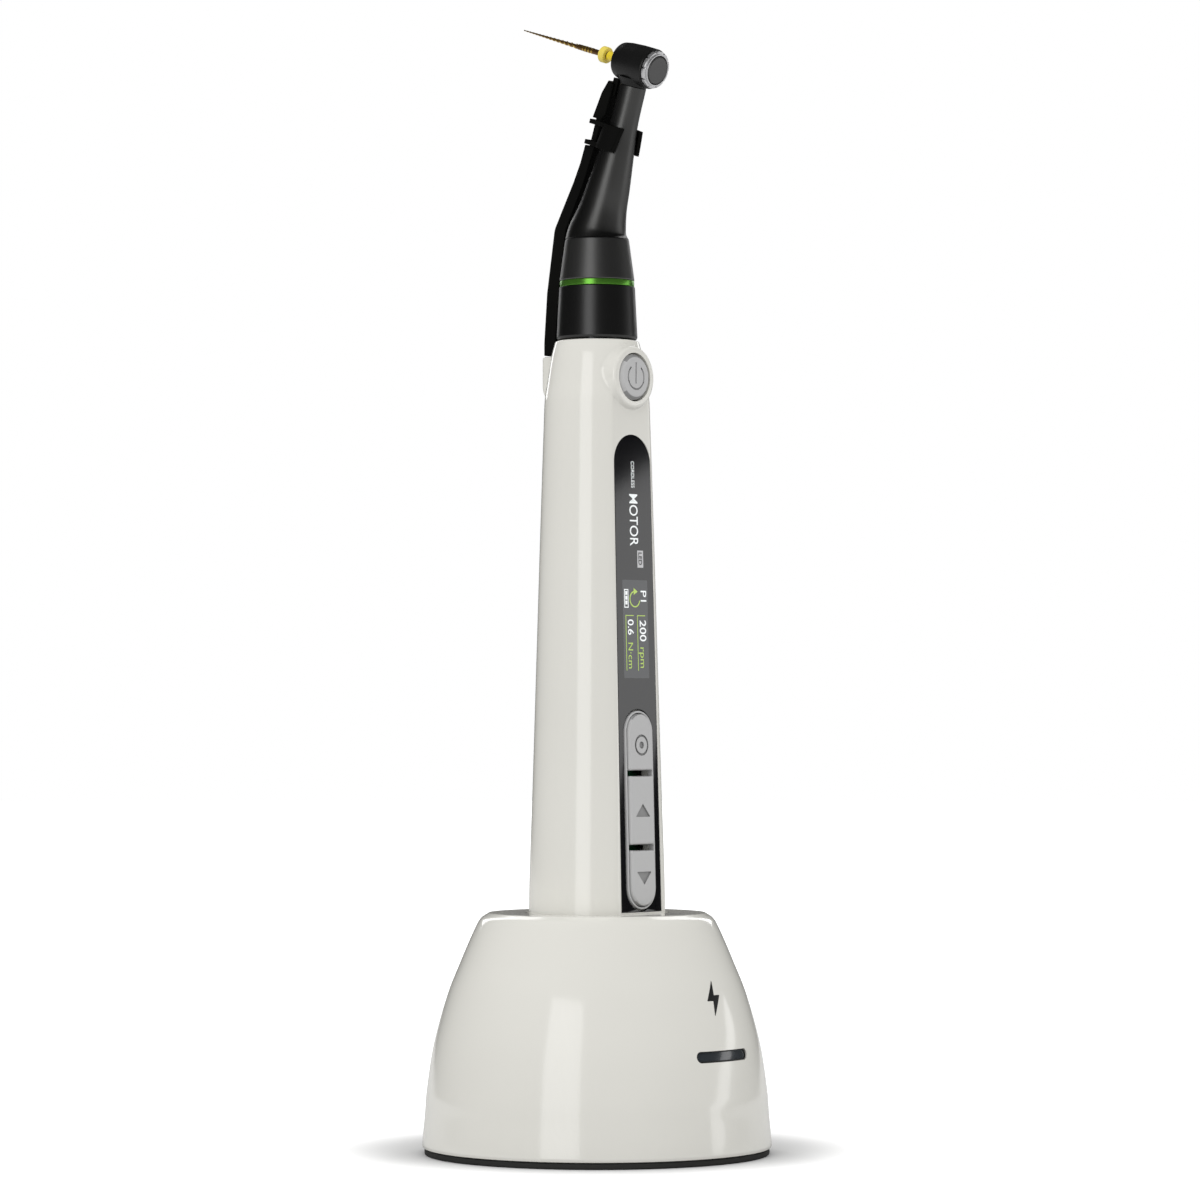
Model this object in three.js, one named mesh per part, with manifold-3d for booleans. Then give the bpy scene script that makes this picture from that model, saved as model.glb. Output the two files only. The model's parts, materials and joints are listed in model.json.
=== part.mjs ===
// Cordless endodontic motor standing in its charging base.
// Millimetres, +Z up. The origin is the centre of the base's underside. The display, the keys and
// the indicator face -Y, and the file points to +Y. X = 0 is the plane of symmetry.
import * as THREE from 'three';
import { mergeVertices } from 'three/addons/utils/BufferGeometryUtils.js';
import Module from 'manifold-3d';

const wasm = await Module();
wasm.setup();

// ---------- driving dimensions ----------

const GAP = 0.3;               // clearance between neighbouring pieces
const WIDE = 28;               // sides of the base's round pieces
const ROUND = 24;              // sides of the handle
const SMALL = 16;              // sides of shafts, bearings and screws

const BASE = { footHeight: 1.2, footRadius: 34.4, height: 48, plateTop: 3.6 };
const WELL = { radius: 14.1, wall: 1.2, floor: 11.6, flat: 12.0 };
const SLOT = { height: 20.9, tall: 2.2, halfAngle: 13.8, recess: 0.5 };
const SOCKET = { height: 8.5, halfWidth: 4.5, halfTall: 1.65 };
const SCREW = { circle: 24, head: 2.6, shank: 1.2, boss: 3 };

const HANDLE = { lip: 48, radius: 13.6, top: 162.2, wall: 1.6 };
const FLAT = { height: 50.4, depth: 11.5, tilt: THREE.MathUtils.degToRad(1.56), wall: 2.6 };
const GLASS = { low: 48.4, high: 143.1, halfLow: 6.2, halfHigh: 5.6, thick: 1 };
const KEYS = { low: 49.5, high: 87.6, halfWidth: 3.65, proud: 0.9, back: 2, gap: 1.1 };
const POWER = { height: 154.6, radius: 4.55, boss: 6.4, face: 9.8, proud: 0.4 };
const LUG = { half: 2.6, out: 12.7, corner: 0.8, low: 149.5, full: 152.6, top: 159.5 };
const MOTOR = { low: 119, high: 147, radius: 6, shaft: 1.2 };
const NOSE = { radius: 5, bore: 1.7, top: 171.5 };

const SLEEVE = { low: 162.5, high: 173, bore: 5.95 };
const CONE = { low: 174.3, high: 182.4 };
const NECK = { start: 182.6, bend: THREE.MathUtils.degToRad(18), bendRadius: 8, length: 31.3 };
const HEAD = { alongNeck: 34.7, radius: 4.05, bore: 3.4 };
const CROWN = { teeth: 12, face: 1.15, inner: 2.4, outer: 3.9, tall: 0.8 };
const BEVEL = { pinionTeeth: 8, gearTeeth: 11, pinionRadius: 1.9, gearRadius: 2.6, face: 0.73 };
const SPINDLE = { radius: 1.6, bore: 1.25 };
const FILE = { shank: 1.1, handle: 0.95, blade: 0.58, tip: 31.7 };
const STOP = { low: 8.2, high: 9.7, radius: 1.65, bore: 0.8 };

const BEND_OFFSET = NECK.bendRadius * Math.tan(NECK.bend / 2);
const BEND_HEIGHT = NECK.start + BEND_OFFSET;   // where the handle's axis meets the neck's axis

// ---------- materials ----------

const FINISH = {
  shellWhite: { color: '#dddcd6', roughness: 0.22, metalness: 0 },
  keyGrey: { color: '#b9babb', roughness: 0.4, metalness: 0 },
  glassBlack: { color: '#08090a', roughness: 0.06, metalness: 0 },
  screen: { color: '#23272b', roughness: 0.2, metalness: 0 },
  lens: { color: '#2c3032', roughness: 0.15, metalness: 0 },
  satinBlack: { color: '#242424', roughness: 0.35, metalness: 0.6 },
  glossBlack: { color: '#0c0c0c', roughness: 0.15, metalness: 0.2 },
  armBlack: { color: '#191917', roughness: 0.55, metalness: 0 },
  ringGreen: { color: '#5aa63a', roughness: 0.25, metalness: 0.8 },
  capGrey: { color: '#585858', roughness: 0.35, metalness: 0.7 },
  brightSteel: { color: '#c9cacc', roughness: 0.18, metalness: 1 },
  steel: { color: '#8d9093', roughness: 0.35, metalness: 1 },
  copper: { color: '#b06a3c', roughness: 0.4, metalness: 1 },
  ferrite: { color: '#2d2d30', roughness: 0.7, metalness: 0 },
  board: { color: '#1f5a3a', roughness: 0.5, metalness: 0 },
  rubber: { color: '#2b2b28', roughness: 0.85, metalness: 0 },
  fileGold: { color: '#9a7a2a', roughness: 0.3, metalness: 0.9 },
  stopYellow: { color: '#e6cf3a', roughness: 0.5, metalness: 0 },
  clear: { color: '#dfe6ea', roughness: 0.1, metalness: 0 },
  whitePlastic: { color: '#cfcfc9', roughness: 0.45, metalness: 0 },
  cellBlue: { color: '#2f5c8c', roughness: 0.4, metalness: 0 },
};

// ---------- geometry helpers ----------

// A profile of [radius, height] points turned about Z. It runs outward along the bottom, up, and
// back inward along the top.
function turned(profile, sides) {
  const points = profile.map(([radius, height]) => new THREE.Vector2(radius, height));
  return new THREE.LatheGeometry(points, sides).rotateX(Math.PI / 2);
}

function rod(radius, low, high, sides = SMALL) {
  return turned([[0, low], [radius, low], [radius, high], [0, high]], sides);
}

function ring(inner, outer, low, high, sides = SMALL) {
  return turned([[inner, low], [outer, low], [outer, high], [inner, high], [inner, low]], sides);
}

function box(x0, x1, y0, y1, z0, z1) {
  const block = new THREE.BoxGeometry(x1 - x0, y1 - y0, z1 - z0);
  return block.translate((x0 + x1) / 2, (y0 + y1) / 2, (z0 + z1) / 2);
}

function outline(points) {
  return new THREE.Shape(points.map(([a, b]) => new THREE.Vector2(a, b)));
}

function extruded(shape, depth) {
  return new THREE.ExtrudeGeometry(shape, { depth, bevelEnabled: false, curveSegments: 6 });
}

// A shape drawn in X and Z, filling the depths from front to back along Y.
function plate(shape, front, back) {
  return extruded(shape, back - front).rotateX(Math.PI / 2).translate(0, back, 0);
}

// An outline of [y, z] points, filling X from -half to +half.
function slab(points, half) {
  const turn = new THREE.Matrix4().makeBasis(
    new THREE.Vector3(0, 1, 0), new THREE.Vector3(0, 0, 1), new THREE.Vector3(1, 0, 0));
  return extruded(outline(points), 2 * half).applyMatrix4(turn).translate(-half, 0, 0);
}

// An outline of [x, y] points, filling the heights from low to high.
function upright(points, low, high) {
  return extruded(outline(points), high - low).translate(0, 0, low);
}

function asSolid(geometry) {
  const bare = geometry.clone();
  bare.deleteAttribute('normal');
  bare.deleteAttribute('uv');
  const merged = mergeVertices(bare, 1e-4);
  return new wasm.Manifold(new wasm.Mesh({
    numProp: 3,
    vertProperties: new Float32Array(merged.attributes.position.array),
    triVerts: new Uint32Array(merged.index.array),
  }));
}

function asGeometry(solid) {
  const mesh = solid.getMesh();
  const geometry = new THREE.BufferGeometry();
  geometry.setAttribute('position', new THREE.BufferAttribute(mesh.vertProperties, 3));
  geometry.setIndex(new THREE.BufferAttribute(mesh.triVerts, 1));
  geometry.computeVertexNormals();
  return geometry;
}

function join(...pieces) {
  return asGeometry(pieces.map(asSolid).reduce((sum, piece) => sum.add(piece)));
}

function cut(body, ...tools) {
  return asGeometry(tools.map(asSolid).reduce((rest, tool) => rest.subtract(tool), asSolid(body)));
}

function common(first, second) {
  return asGeometry(asSolid(first).intersect(asSolid(second)));
}

function addPart(parent, name, geometry, finish) {
  const mesh = new THREE.Mesh(geometry, new THREE.MeshStandardMaterial(finish));
  mesh.name = name;
  parent.add(mesh);
  return mesh;
}

function radians(degrees) {
  return THREE.MathUtils.degToRad(degrees);
}

// ---------- frames ----------

const motor = new THREE.Group();
const base = new THREE.Group();
const handpiece = new THREE.Group();
const contra = new THREE.Group();
motor.add(base, handpiece, contra);

// The handle's front flat: local Z runs up the flat and local -Y points out of it.
const face = new THREE.Group();
face.position.set(0, -FLAT.depth, FLAT.height);
face.rotation.x = -FLAT.tilt;
face.updateMatrix();
handpiece.add(face);

// The neck's axis, and on it the head, whose local +Y is the file's axis.
const neck = new THREE.Group();
neck.position.set(0, 0, BEND_HEIGHT);
neck.rotation.x = NECK.bend;
neck.updateMatrix();
contra.add(neck);
const head = new THREE.Group();
head.position.set(0, 0, HEAD.alongNeck);
neck.add(head);

function onFace(geometry) {
  return geometry.applyMatrix4(face.matrix);
}

function faceHeight(height) {
  return (height - FLAT.height) / Math.cos(FLAT.tilt);
}

// A profile turned about the file's axis.
function turnedAlongFile(profile, sides) {
  return turned(profile, sides).rotateX(-Math.PI / 2);
}

function ringAlongFile(inner, outer, low, high, sides = SMALL) {
  return ring(inner, outer, low, high, sides).rotateX(-Math.PI / 2);
}

// ---------- charging base ----------

const DOME = [
  [34.84, 1.7], [34.3, 8.4], [34, 12.4], [32.8, 20.7], [29.4, 33], [27.4, 38], [26.3, 41],
  [24.4, 45.2], [23, 47.3], [22, 48],
];

function domeSolid() {
  return turned([[0, BASE.footHeight], [34.4, BASE.footHeight], ...DOME, [0, BASE.height]], WIDE);
}

function wellMouth(low, high) {
  const front = box(-20, 20, -20, -WELL.flat, low - 1, high + 1);
  return cut(rod(WELL.radius - 0.1, low, high, ROUND), front);
}

// A block of the dome's wall, between two radii, on the front side.
function slotBlock(inner, outer, halfAngle, low, high) {
  const shape = new THREE.Shape();
  const start = radians(270 - halfAngle);
  const end = radians(270 + halfAngle);
  shape.absarc(0, 0, outer, start, end, false);
  shape.absarc(0, 0, inner, end, start, true);
  return extruded(shape, high - low).translate(0, 0, low);
}

function screwPlaces() {
  const places = [];
  for (let i = 0; i < 4; i += 1) {
    const angle = radians(45 + 90 * i);
    places.push([SCREW.circle * Math.cos(angle), SCREW.circle * Math.sin(angle)]);
  }
  return places;
}

function baseShell() {
  const hollow = turned([
    [0, 0], [32.6, 0], [32.3, 8.4], [32, 12.4], [30.8, 20.4], [27.5, 32.2], [25.4, 37.2],
    [24.2, 40.3], [22.6, 44], [21, 46], [0, 46],
  ], WIDE);
  let shell = cut(domeSolid(), hollow, wellMouth(40, 50));
  for (const [x, y] of screwPlaces()) {
    const boss = rod(SCREW.boss, BASE.plateTop + GAP, 44).translate(x, y, 0);
    shell = join(shell, common(boss, domeSolid()));
    shell = cut(shell, rod(SCREW.shank + 0.2, 0, 13).translate(x, y, 0));
  }
  const half = SLOT.tall / 2;
  const slot = slotBlock(26, 40, SLOT.halfAngle, SLOT.height - half, SLOT.height + half);
  const wide = SOCKET.halfWidth + GAP;
  const tall = SOCKET.halfTall + GAP;
  const inlet = box(-wide, wide, 28, 40, SOCKET.height - tall, SOCKET.height + tall);
  return cut(shell, slot, inlet);
}

function basePlate() {
  let plateDisc = rod(32, BASE.footHeight, BASE.plateTop, WIDE);
  for (const [x, y] of screwPlaces()) {
    const hole = rod(SCREW.shank + 0.2, 0, 5).translate(x, y, 0);
    const counterbore = rod(SCREW.head + GAP, 0, 2.4).translate(x, y, 0);
    plateDisc = cut(plateDisc, hole, counterbore);
  }
  return plateDisc;
}

function baseScrew() {
  const profile = [
    [0, 2], [0.9, 1.4], [SCREW.head, 1.4], [SCREW.head, 2.3], [SCREW.shank, 2.3],
    [SCREW.shank, 11.5], [0, 12.3],
  ];
  return turned(profile, 12);
}

function chargerBoard() {
  const disc = rod(19, 5.2, 6.4, 24);
  const tongue = box(-7, 7, 10, 31, 5.2, 6.4);
  const coilChip = box(-6, 0, -9, -3, 6.3, 8);
  const powerChip = box(4, 9, -2, 3, 6.3, 7.6);
  const capacitor = rod(2.2, 6.3, 9.4, 12).translate(-8, 7, 0);
  return join(disc, tongue, coilChip, powerChip, capacitor);
}

function powerSocket() {
  const { height, halfWidth, halfTall } = SOCKET;
  const low = height - halfTall;
  const high = height + halfTall;
  const shell = box(-halfWidth, halfWidth, 26, 33.9, low, high);
  const mouth = box(-halfWidth + 0.5, halfWidth - 0.5, 27.5, 35, low + 0.5, high - 0.5);
  const tongue = box(-3.2, 3.2, 27, 33.2, height - 0.35, height + 0.35);
  return join(cut(shell, mouth), tongue);
}

function ballastRing() {
  const shape = new THREE.Shape();
  const notch = 24;
  shape.absarc(0, 0, 31, radians(90 + notch), radians(450 - notch), false);
  shape.absarc(0, 0, 27.6, radians(450 - notch), radians(90 + notch), true);
  const options = { depth: 9, bevelEnabled: false, curveSegments: 16 };
  return new THREE.ExtrudeGeometry(shape, options).translate(0, 0, 4);
}

function buildBase() {
  addPart(base, 'foot_ring', ring(27.5, BASE.footRadius, 0, BASE.footHeight, WIDE), FINISH.rubber);
  addPart(base, 'base_plate', basePlate(), FINISH.rubber);
  addPart(base, 'base_shell', baseShell(), FINISH.shellWhite);
  screwPlaces().forEach(([x, y], index) => {
    const screw = addPart(base, `base_screw_${index + 1}`, baseScrew(), FINISH.steel);
    screw.position.set(x, y, 0);
  });

  const outer = WELL.radius + WELL.wall;
  const cup = turned([
    [0, 10], [outer, 10], [outer, 45.6], [WELL.radius, 45.6], [WELL.radius, WELL.floor],
    [0, WELL.floor],
  ], ROUND);
  addPart(base, 'charger_well', cup, FINISH.whitePlastic);
  addPart(base, 'transmit_coil', ring(outer + GAP, 18.6, 16, 34, ROUND), FINISH.copper);
  addPart(base, 'coil_ferrite', ring(19, 20.2, 15, 35, ROUND), FINISH.ferrite);
  addPart(base, 'charger_board', chargerBoard(), FINISH.board);
  addPart(base, 'power_socket', powerSocket(), FINISH.steel);
  addPart(base, 'ballast_ring', ballastRing(), FINISH.steel);

  const halfLens = SLOT.tall / 2 - 0.25;
  const lensOuter = 32.77 - SLOT.recess;
  const lens = slotBlock(30, lensOuter, SLOT.halfAngle - 0.6,
    SLOT.height - halfLens, SLOT.height + halfLens);
  addPart(base, 'indicator_lens', lens, FINISH.lens);
  const lampBoard = join(
    box(-7, 7, -28.4, -27.2, 18, 24), box(-1, 1, -29, -28.2, 20, 22));
  addPart(base, 'indicator_board', lampBoard, FINISH.board);
}

// ---------- handle ----------

const HANDLE_PROFILE = [
  [12.9, 12], [HANDLE.radius, 12.8], [HANDLE.radius, 48], [11.3, 126], [10.7, 144.4], [10.5, 150],
  [9.9, 154], [9.1, 159.3], [8.36, HANDLE.top],
];

// The space in front of the flat, moved back by depth. Below the base's lip the flat stands upright.
function frontOfFlat(depth) {
  const lip = faceHeight(HANDLE.lip);
  const lipDepth = FLAT.depth - lip * Math.sin(FLAT.tilt);
  const below = box(-20, 20, -20, depth - lipDepth, 0, HANDLE.lip);
  return join(onFace(box(-20, 20, -20, depth, lip - 1, 130)), below);
}

function handleCavity() {
  const inner = HANDLE_PROFILE.slice(2, 8).map(([radius, height]) => [radius - HANDLE.wall, height]);
  const round = turned([[0, 10], [12, 10], ...inner, [7.2, 160.4], [0, 160.4]], ROUND);
  return cut(round, frontOfFlat(FLAT.wall));
}

function powerBoss() {
  const { boss, face: front } = POWER;
  const profile = [[0, 7], [boss + 0.6, 7], [boss + 0.3, 9.4], [boss - 0.5, front], [0, front]];
  return turned(profile, 24).rotateX(Math.PI / 2).translate(0, 0, POWER.height);
}

function lugSolid() {
  const { half, out, corner, low, full, top } = LUG;
  const section = [[-half, 6], [half, 6], [half, out - corner], [half - corner, out],
    [corner - half, out], [-half, out - corner]];
  const foot = slab([[6, low], [9.9, low], [out, full], [6, full]], half);
  return join(upright(section, full, top), common(upright(section, low, full), foot));
}

function glassShape(grow) {
  const low = faceHeight(GLASS.low) - grow;
  const arch = faceHeight(GLASS.high) - GLASS.halfHigh;
  const half = GLASS.halfLow + grow;
  const round = GLASS.halfHigh + grow;
  const shape = new THREE.Shape();
  shape.moveTo(-half, low);
  shape.lineTo(half, low);
  shape.absarc(0, arch, round, 0, Math.PI, false);
  shape.closePath();
  return shape;
}

// A strip with round ends, between two heights on the flat.
function obround(low, high, half) {
  const shape = new THREE.Shape();
  shape.absarc(0, faceHeight(high) - half, half, 0, Math.PI, false);
  shape.absarc(0, faceHeight(low) + half, half, Math.PI, 2 * Math.PI, false);
  return shape;
}

function keyOpening(grow, front, back) {
  return plate(obround(KEYS.low - grow, KEYS.high + grow, KEYS.halfWidth + grow), front, back);
}

function bodyShell() {
  const round = turned([[0, 12], ...HANDLE_PROFILE, [0, HANDLE.top]], ROUND);
  const outer = join(cut(round, frontOfFlat(0)), powerBoss(), lugSolid());
  const buttonHole = rod(POWER.radius + GAP, 5, 12, 24)
    .rotateX(Math.PI / 2).translate(0, 0, POWER.height);
  const noseHole = rod(NOSE.radius + 0.4, 158, 164);
  const lampPocket = box(-1.3, 1.3, 9.4, 11.3, 152.4, 160);
  const glassPocket = onFace(plate(glassShape(0.25), -3, GLASS.thick + GAP));
  const screenWindow = onFace(box(-5.2, 5.2, 0, 4, faceHeight(91.6), faceHeight(116.8)));
  const keyWindow = onFace(keyOpening(GAP, 0, 4));
  const tailEnd = box(-20, 20, -20, 20, 10, 13.5);
  return cut(outer, handleCavity(), buttonHole, noseHole, lampPocket, glassPocket, screenWindow,
    keyWindow, tailEnd);
}

function tailCap() {
  const flange = cut(turned([[0, 12], [12.9, 12], [13.5, 12.7], [13.5, 13.2], [0, 13.2]], ROUND),
    frontOfFlat(0.1));
  return join(flange, rod(8.4, 13, 17));
}

function displayGlass() {
  return cut(plate(glassShape(0), 0, GLASS.thick), keyOpening(0.9, -1, 3));
}

function keyBezel() {
  const frame = keyOpening(0.6, -GAP, GLASS.thick);
  return cut(frame, keyOpening(0.2, -2, 3));
}

// One key of the strip, cut from the round-ended block between two heights.
function stripKey(low, high) {
  const block = keyOpening(0, -KEYS.proud, KEYS.back);
  return common(block, box(-9, 9, -2, 4, faceHeight(low), faceHeight(high)));
}

function tactSwitch() {
  return join(box(-3, 3, 3.1, 5, -3, 3), rod(1.5, 2.6, 3.3, 12).rotateX(-Math.PI / 2));
}

function mainBoard() {
  const board = box(-6.2, 6.2, 5.2, 6.4, faceHeight(49.5), faceHeight(116));
  const processor = box(-3.5, 3.5, 3.9, 5.3, faceHeight(119) - 32, faceHeight(119) - 29);
  return join(board, processor);
}

function buildHandle() {
  addPart(handpiece, 'body_shell', bodyShell(), FINISH.shellWhite);
  addPart(handpiece, 'tail_cap', tailCap(), FINISH.shellWhite);
  addPart(handpiece, 'receive_coil', ring(5, 8.2, 19, 33, 24), FINISH.copper);
  const cell = turned([[0, 37], [7, 37], [7, 86.2], [2.8, 86.2], [2.8, 87.2], [0, 87.2]], 24);
  addPart(handpiece, 'battery_cell', cell.translate(0, 3.3, 0), FINISH.cellBlue);
  addPart(handpiece, 'lamp_led', box(-0.9, 0.9, 9.7, 11, 152.7, 154.2), FINISH.clear);

  addPart(face, 'display_glass', displayGlass(), FINISH.glassBlack);
  const screen = box(-4.8, 4.8, 1.5, 3.3, faceHeight(92), faceHeight(116.4));
  addPart(face, 'display_module', screen, FINISH.screen);
  addPart(face, 'key_bezel', keyBezel(), FINISH.keyGrey);
  addPart(face, 'main_board', mainBoard(), FINISH.board);
}

const KEY_ROWS = [
  { name: 'set', low: 76.4, high: KEYS.high },
  { name: 'up', low: 61.7, high: 76.4 - KEYS.gap },
  { name: 'down', low: KEYS.low, high: 61.7 - KEYS.gap },
];

function buildKeys() {
  for (const { name, low, high } of KEY_ROWS) {
    addPart(face, `${name}_key`, stripKey(low, high), FINISH.keyGrey);
    const tact = addPart(face, `${name}_switch`, tactSwitch(), FINISH.steel);
    tact.position.z = faceHeight((low + high) / 2);
  }
  const front = POWER.face + POWER.proud;
  const { radius } = POWER;
  const button = turned([[0, 8.4], [radius, 8.4], [radius, front - 0.5], [radius - 0.7, front],
    [0, front]], 24).rotateX(Math.PI / 2);
  const buttonMesh = addPart(handpiece, 'power_button', button, FINISH.keyGrey);
  buttonMesh.position.z = POWER.height;
  const tact = join(box(-3, 3, -7.4, -5.6, -3, 3), rod(1.5, 7.2, 7.7, 12).rotateX(Math.PI / 2));
  const powerSwitch = addPart(handpiece, 'power_switch', tact, FINISH.steel);
  powerSwitch.position.z = POWER.height;
}

// ---------- motor ----------

function motorNose() {
  const { radius, bore, top } = NOSE;
  const groove = radius - 0.55;
  const profile = [[bore, 147.3], [5.8, 147.3], [5.8, 149.3], [radius, 149.3]];
  for (const low of [164.6, 168]) {
    profile.push([radius, low], [groove, low], [groove, low + 1.5], [radius, low + 1.5]);
  }
  profile.push([radius, top - 0.5], [radius - 0.5, top], [bore, top], [bore, 147.3]);
  return turned(profile, SMALL);
}

function noseSeal(low) {
  const seal = new THREE.TorusGeometry(NOSE.radius + 0.2, 0.42, 6, 16);
  return seal.translate(0, 0, low + 0.75);
}

function rotorSolid() {
  const { shaft } = MOTOR;
  const turnedPart = turned([
    [0, 121.4], [shaft, 121.4], [shaft, 124.4], [3.9, 124.4], [3.9, 141.6], [shaft, 141.6],
    [shaft, 172.2], [0, 172.2],
  ], SMALL);
  return join(turnedPart, box(-1.1, 1.1, -0.45, 0.45, 171, 175.4));
}

function buildMotor() {
  const { low, high, radius } = MOTOR;
  const can = turned([[0, low], [radius, low], [radius, high], [4.7, high], [4.7, low + 2],
    [0, low + 2]], 24);
  addPart(handpiece, 'motor_can', can, FINISH.steel);
  addPart(handpiece, 'motor_bearing_rear', ring(1.35, 4.4, 121.4, 123.8), FINISH.brightSteel);
  addPart(handpiece, 'motor_bearing_front', ring(1.35, 4.4, 142.4, 144.8), FINISH.brightSteel);
  addPart(handpiece, 'motor_nose', motorNose(), FINISH.brightSteel);
  addPart(handpiece, 'nose_seal_1', noseSeal(164.6), FINISH.rubber);
  addPart(handpiece, 'nose_seal_2', noseSeal(168), FINISH.rubber);
  addPart(handpiece, 'motor_rotor', rotorSolid(), FINISH.steel);
}

// ---------- gears ----------

// Radial teeth on a disc's face. centre is the angle, in degrees, of the first tooth.
function crownTeeth(low, high, centre) {
  const teeth = [];
  const half = 4.6;
  for (let i = 0; i < CROWN.teeth; i += 1) {
    const middle = centre + (360 / CROWN.teeth) * i;
    const corners = [];
    for (const [radius, side] of [[CROWN.inner, -1], [CROWN.outer, -1], [CROWN.outer, 1],
      [CROWN.inner, 1]]) {
      const angle = radians(middle + side * half);
      corners.push([radius * Math.cos(angle), radius * Math.sin(angle)]);
    }
    teeth.push(upright(corners, low, high));
  }
  return teeth;
}

// A bevel gear with its large end at z = 0 and its apex at z = apex. centre is the angle of a tooth.
function bevelGear(teeth, pitchRadius, apex, centre) {
  const pitch = 360 / teeth;
  const root = pitchRadius - 0.4;
  const tip = pitchRadius + 0.25;
  const points = [];
  for (let i = 0; i < teeth; i += 1) {
    const middle = centre + pitch * i;
    for (const [radius, part] of [[root, -0.24], [tip, -0.11], [tip, 0.11], [root, 0.24]]) {
      const angle = radians(middle + part * pitch);
      points.push([radius * Math.cos(angle), radius * Math.sin(angle)]);
    }
  }
  const gear = extruded(outline(points), BEVEL.face);
  const places = gear.attributes.position;
  for (let i = 0; i < places.count; i += 1) {
    const scale = 1 - places.getZ(i) / apex;
    places.setXY(i, places.getX(i) * scale, places.getY(i) * scale);
  }
  return gear;
}

function driveShaft() {
  const crownFace = BEND_HEIGHT - CROWN.face;
  const shaft = turned([
    [0, 172.8], [2.4, 172.8], [2.4, 176.3], [1.5, 176.3], [1.5, crownFace - 0.9],
    [CROWN.outer, crownFace - 0.9], [CROWN.outer, crownFace], [0, crownFace],
  ], SMALL);
  const fork = cut(shaft, box(-3, 3, -0.8, 0.8, 172, 175.9));
  return join(fork, ...crownTeeth(crownFace - 0.1, crownFace + CROWN.tall, 270));
}

function neckShaft() {
  const end = HEAD.alongNeck - BEVEL.gearRadius;
  const shaft = turned([
    [0, CROWN.face], [CROWN.outer, CROWN.face], [CROWN.outer, CROWN.face + 0.9],
    [0.8, CROWN.face + 0.9], [0.8, end + 0.2], [0, end + 0.2],
  ], SMALL);
  const teeth = crownTeeth(CROWN.face - CROWN.tall, CROWN.face + 0.1, 270 + 180 / CROWN.teeth);
  const pinion = bevelGear(BEVEL.pinionTeeth, BEVEL.pinionRadius, BEVEL.gearRadius, 90);
  return join(shaft, ...teeth, pinion.translate(0, 0, end));
}

function spindleSolid() {
  const { radius, bore } = SPINDLE;
  const tube = turnedAlongFile([
    [0, -3.2], [radius, -3.2], [radius, 4.8], [bore, 4.8], [bore, -1.6], [0, -1.6],
  ], SMALL);
  const gap = 270 + 180 / BEVEL.gearTeeth;
  const wheel = bevelGear(BEVEL.gearTeeth, BEVEL.gearRadius, BEVEL.pinionRadius, gap)
    .rotateX(Math.PI / 2).translate(0, BEVEL.pinionRadius, 0);
  const bored = cut(wheel, ringAlongFile(0, bore + 0.2, -5, 6));
  return join(tube, bored);
}

// ---------- contra-angle ----------

// Radius of the neck by its distance along the neck's centre line.
const NECK_PROFILE = [
  [6.35, 0], [5.3, 4], [4.7, 7.2], [4.3, 11.3], [3.65, 16.8], [2.85, 23.8], [2.7, NECK.length],
];

// Bends an upright turned solid about the neck's bend: below the arc's length it follows the arc,
// above it the straight neck.
function bentAlongNeck(geometry) {
  const { bend, bendRadius } = NECK;
  const places = geometry.attributes.position;
  for (let i = 0; i < places.count; i += 1) {
    const along = places.getZ(i);
    const angle = Math.min(along / bendRadius, bend);
    const past = along - angle * bendRadius;
    const side = places.getY(i);
    const y = -bendRadius * (1 - Math.cos(angle)) - past * Math.sin(angle) + side * Math.cos(angle);
    const z = bendRadius * Math.sin(angle) + past * Math.cos(angle) + side * Math.sin(angle);
    places.setXYZ(i, places.getX(i), y, NECK.start + z);
  }
  return geometry;
}

function neckSheath() {
  const inner = NECK_PROFILE.map(([radius, along]) => [radius - 0.95, along]).reverse();
  const arc = NECK.bend * NECK.bendRadius;
  const first = NECK_PROFILE[0];
  const split = [6.35 - 1.05 * (arc / 4), arc];
  const profile = [first, split, ...NECK_PROFILE.slice(1), ...inner.slice(0, -1),
    [split[0] - 0.95, arc], inner[inner.length - 1], first];
  return bentAlongNeck(turned(profile, SMALL));
}

function headHousing() {
  const { radius, bore } = HEAD;
  const barrel = turnedAlongFile([
    [bore, -4.1], [radius, -4.1], [radius, 0], [3.9, 2.6], [3.6, 4], [3.1, 4.6], [1.95, 5],
    [1.95, 3.9], [bore, 3.9], [bore, -4.1],
  ], SMALL);
  const stub = rod(2.7, -4.3, -2.6);
  const throat = rod(2.35, -4.6, -1);
  const bearingRoom = ringAlongFile(0, bore, -4.1, 3.9, SMALL);
  return join(cut(stub, throat, bearingRoom), cut(barrel, throat));
}

// A point of the neck's frame in the plane of symmetry, as [y, z] of the whole.
function neckPoint(out, along) {
  const cosine = Math.cos(NECK.bend);
  const sine = Math.sin(NECK.bend);
  return [out * cosine - along * sine, BEND_HEIGHT + out * sine + along * cosine];
}

const ARM = { half: 2, recessLow: 16.5, recessHigh: 22.2, recessOut: 5.8 };

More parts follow.
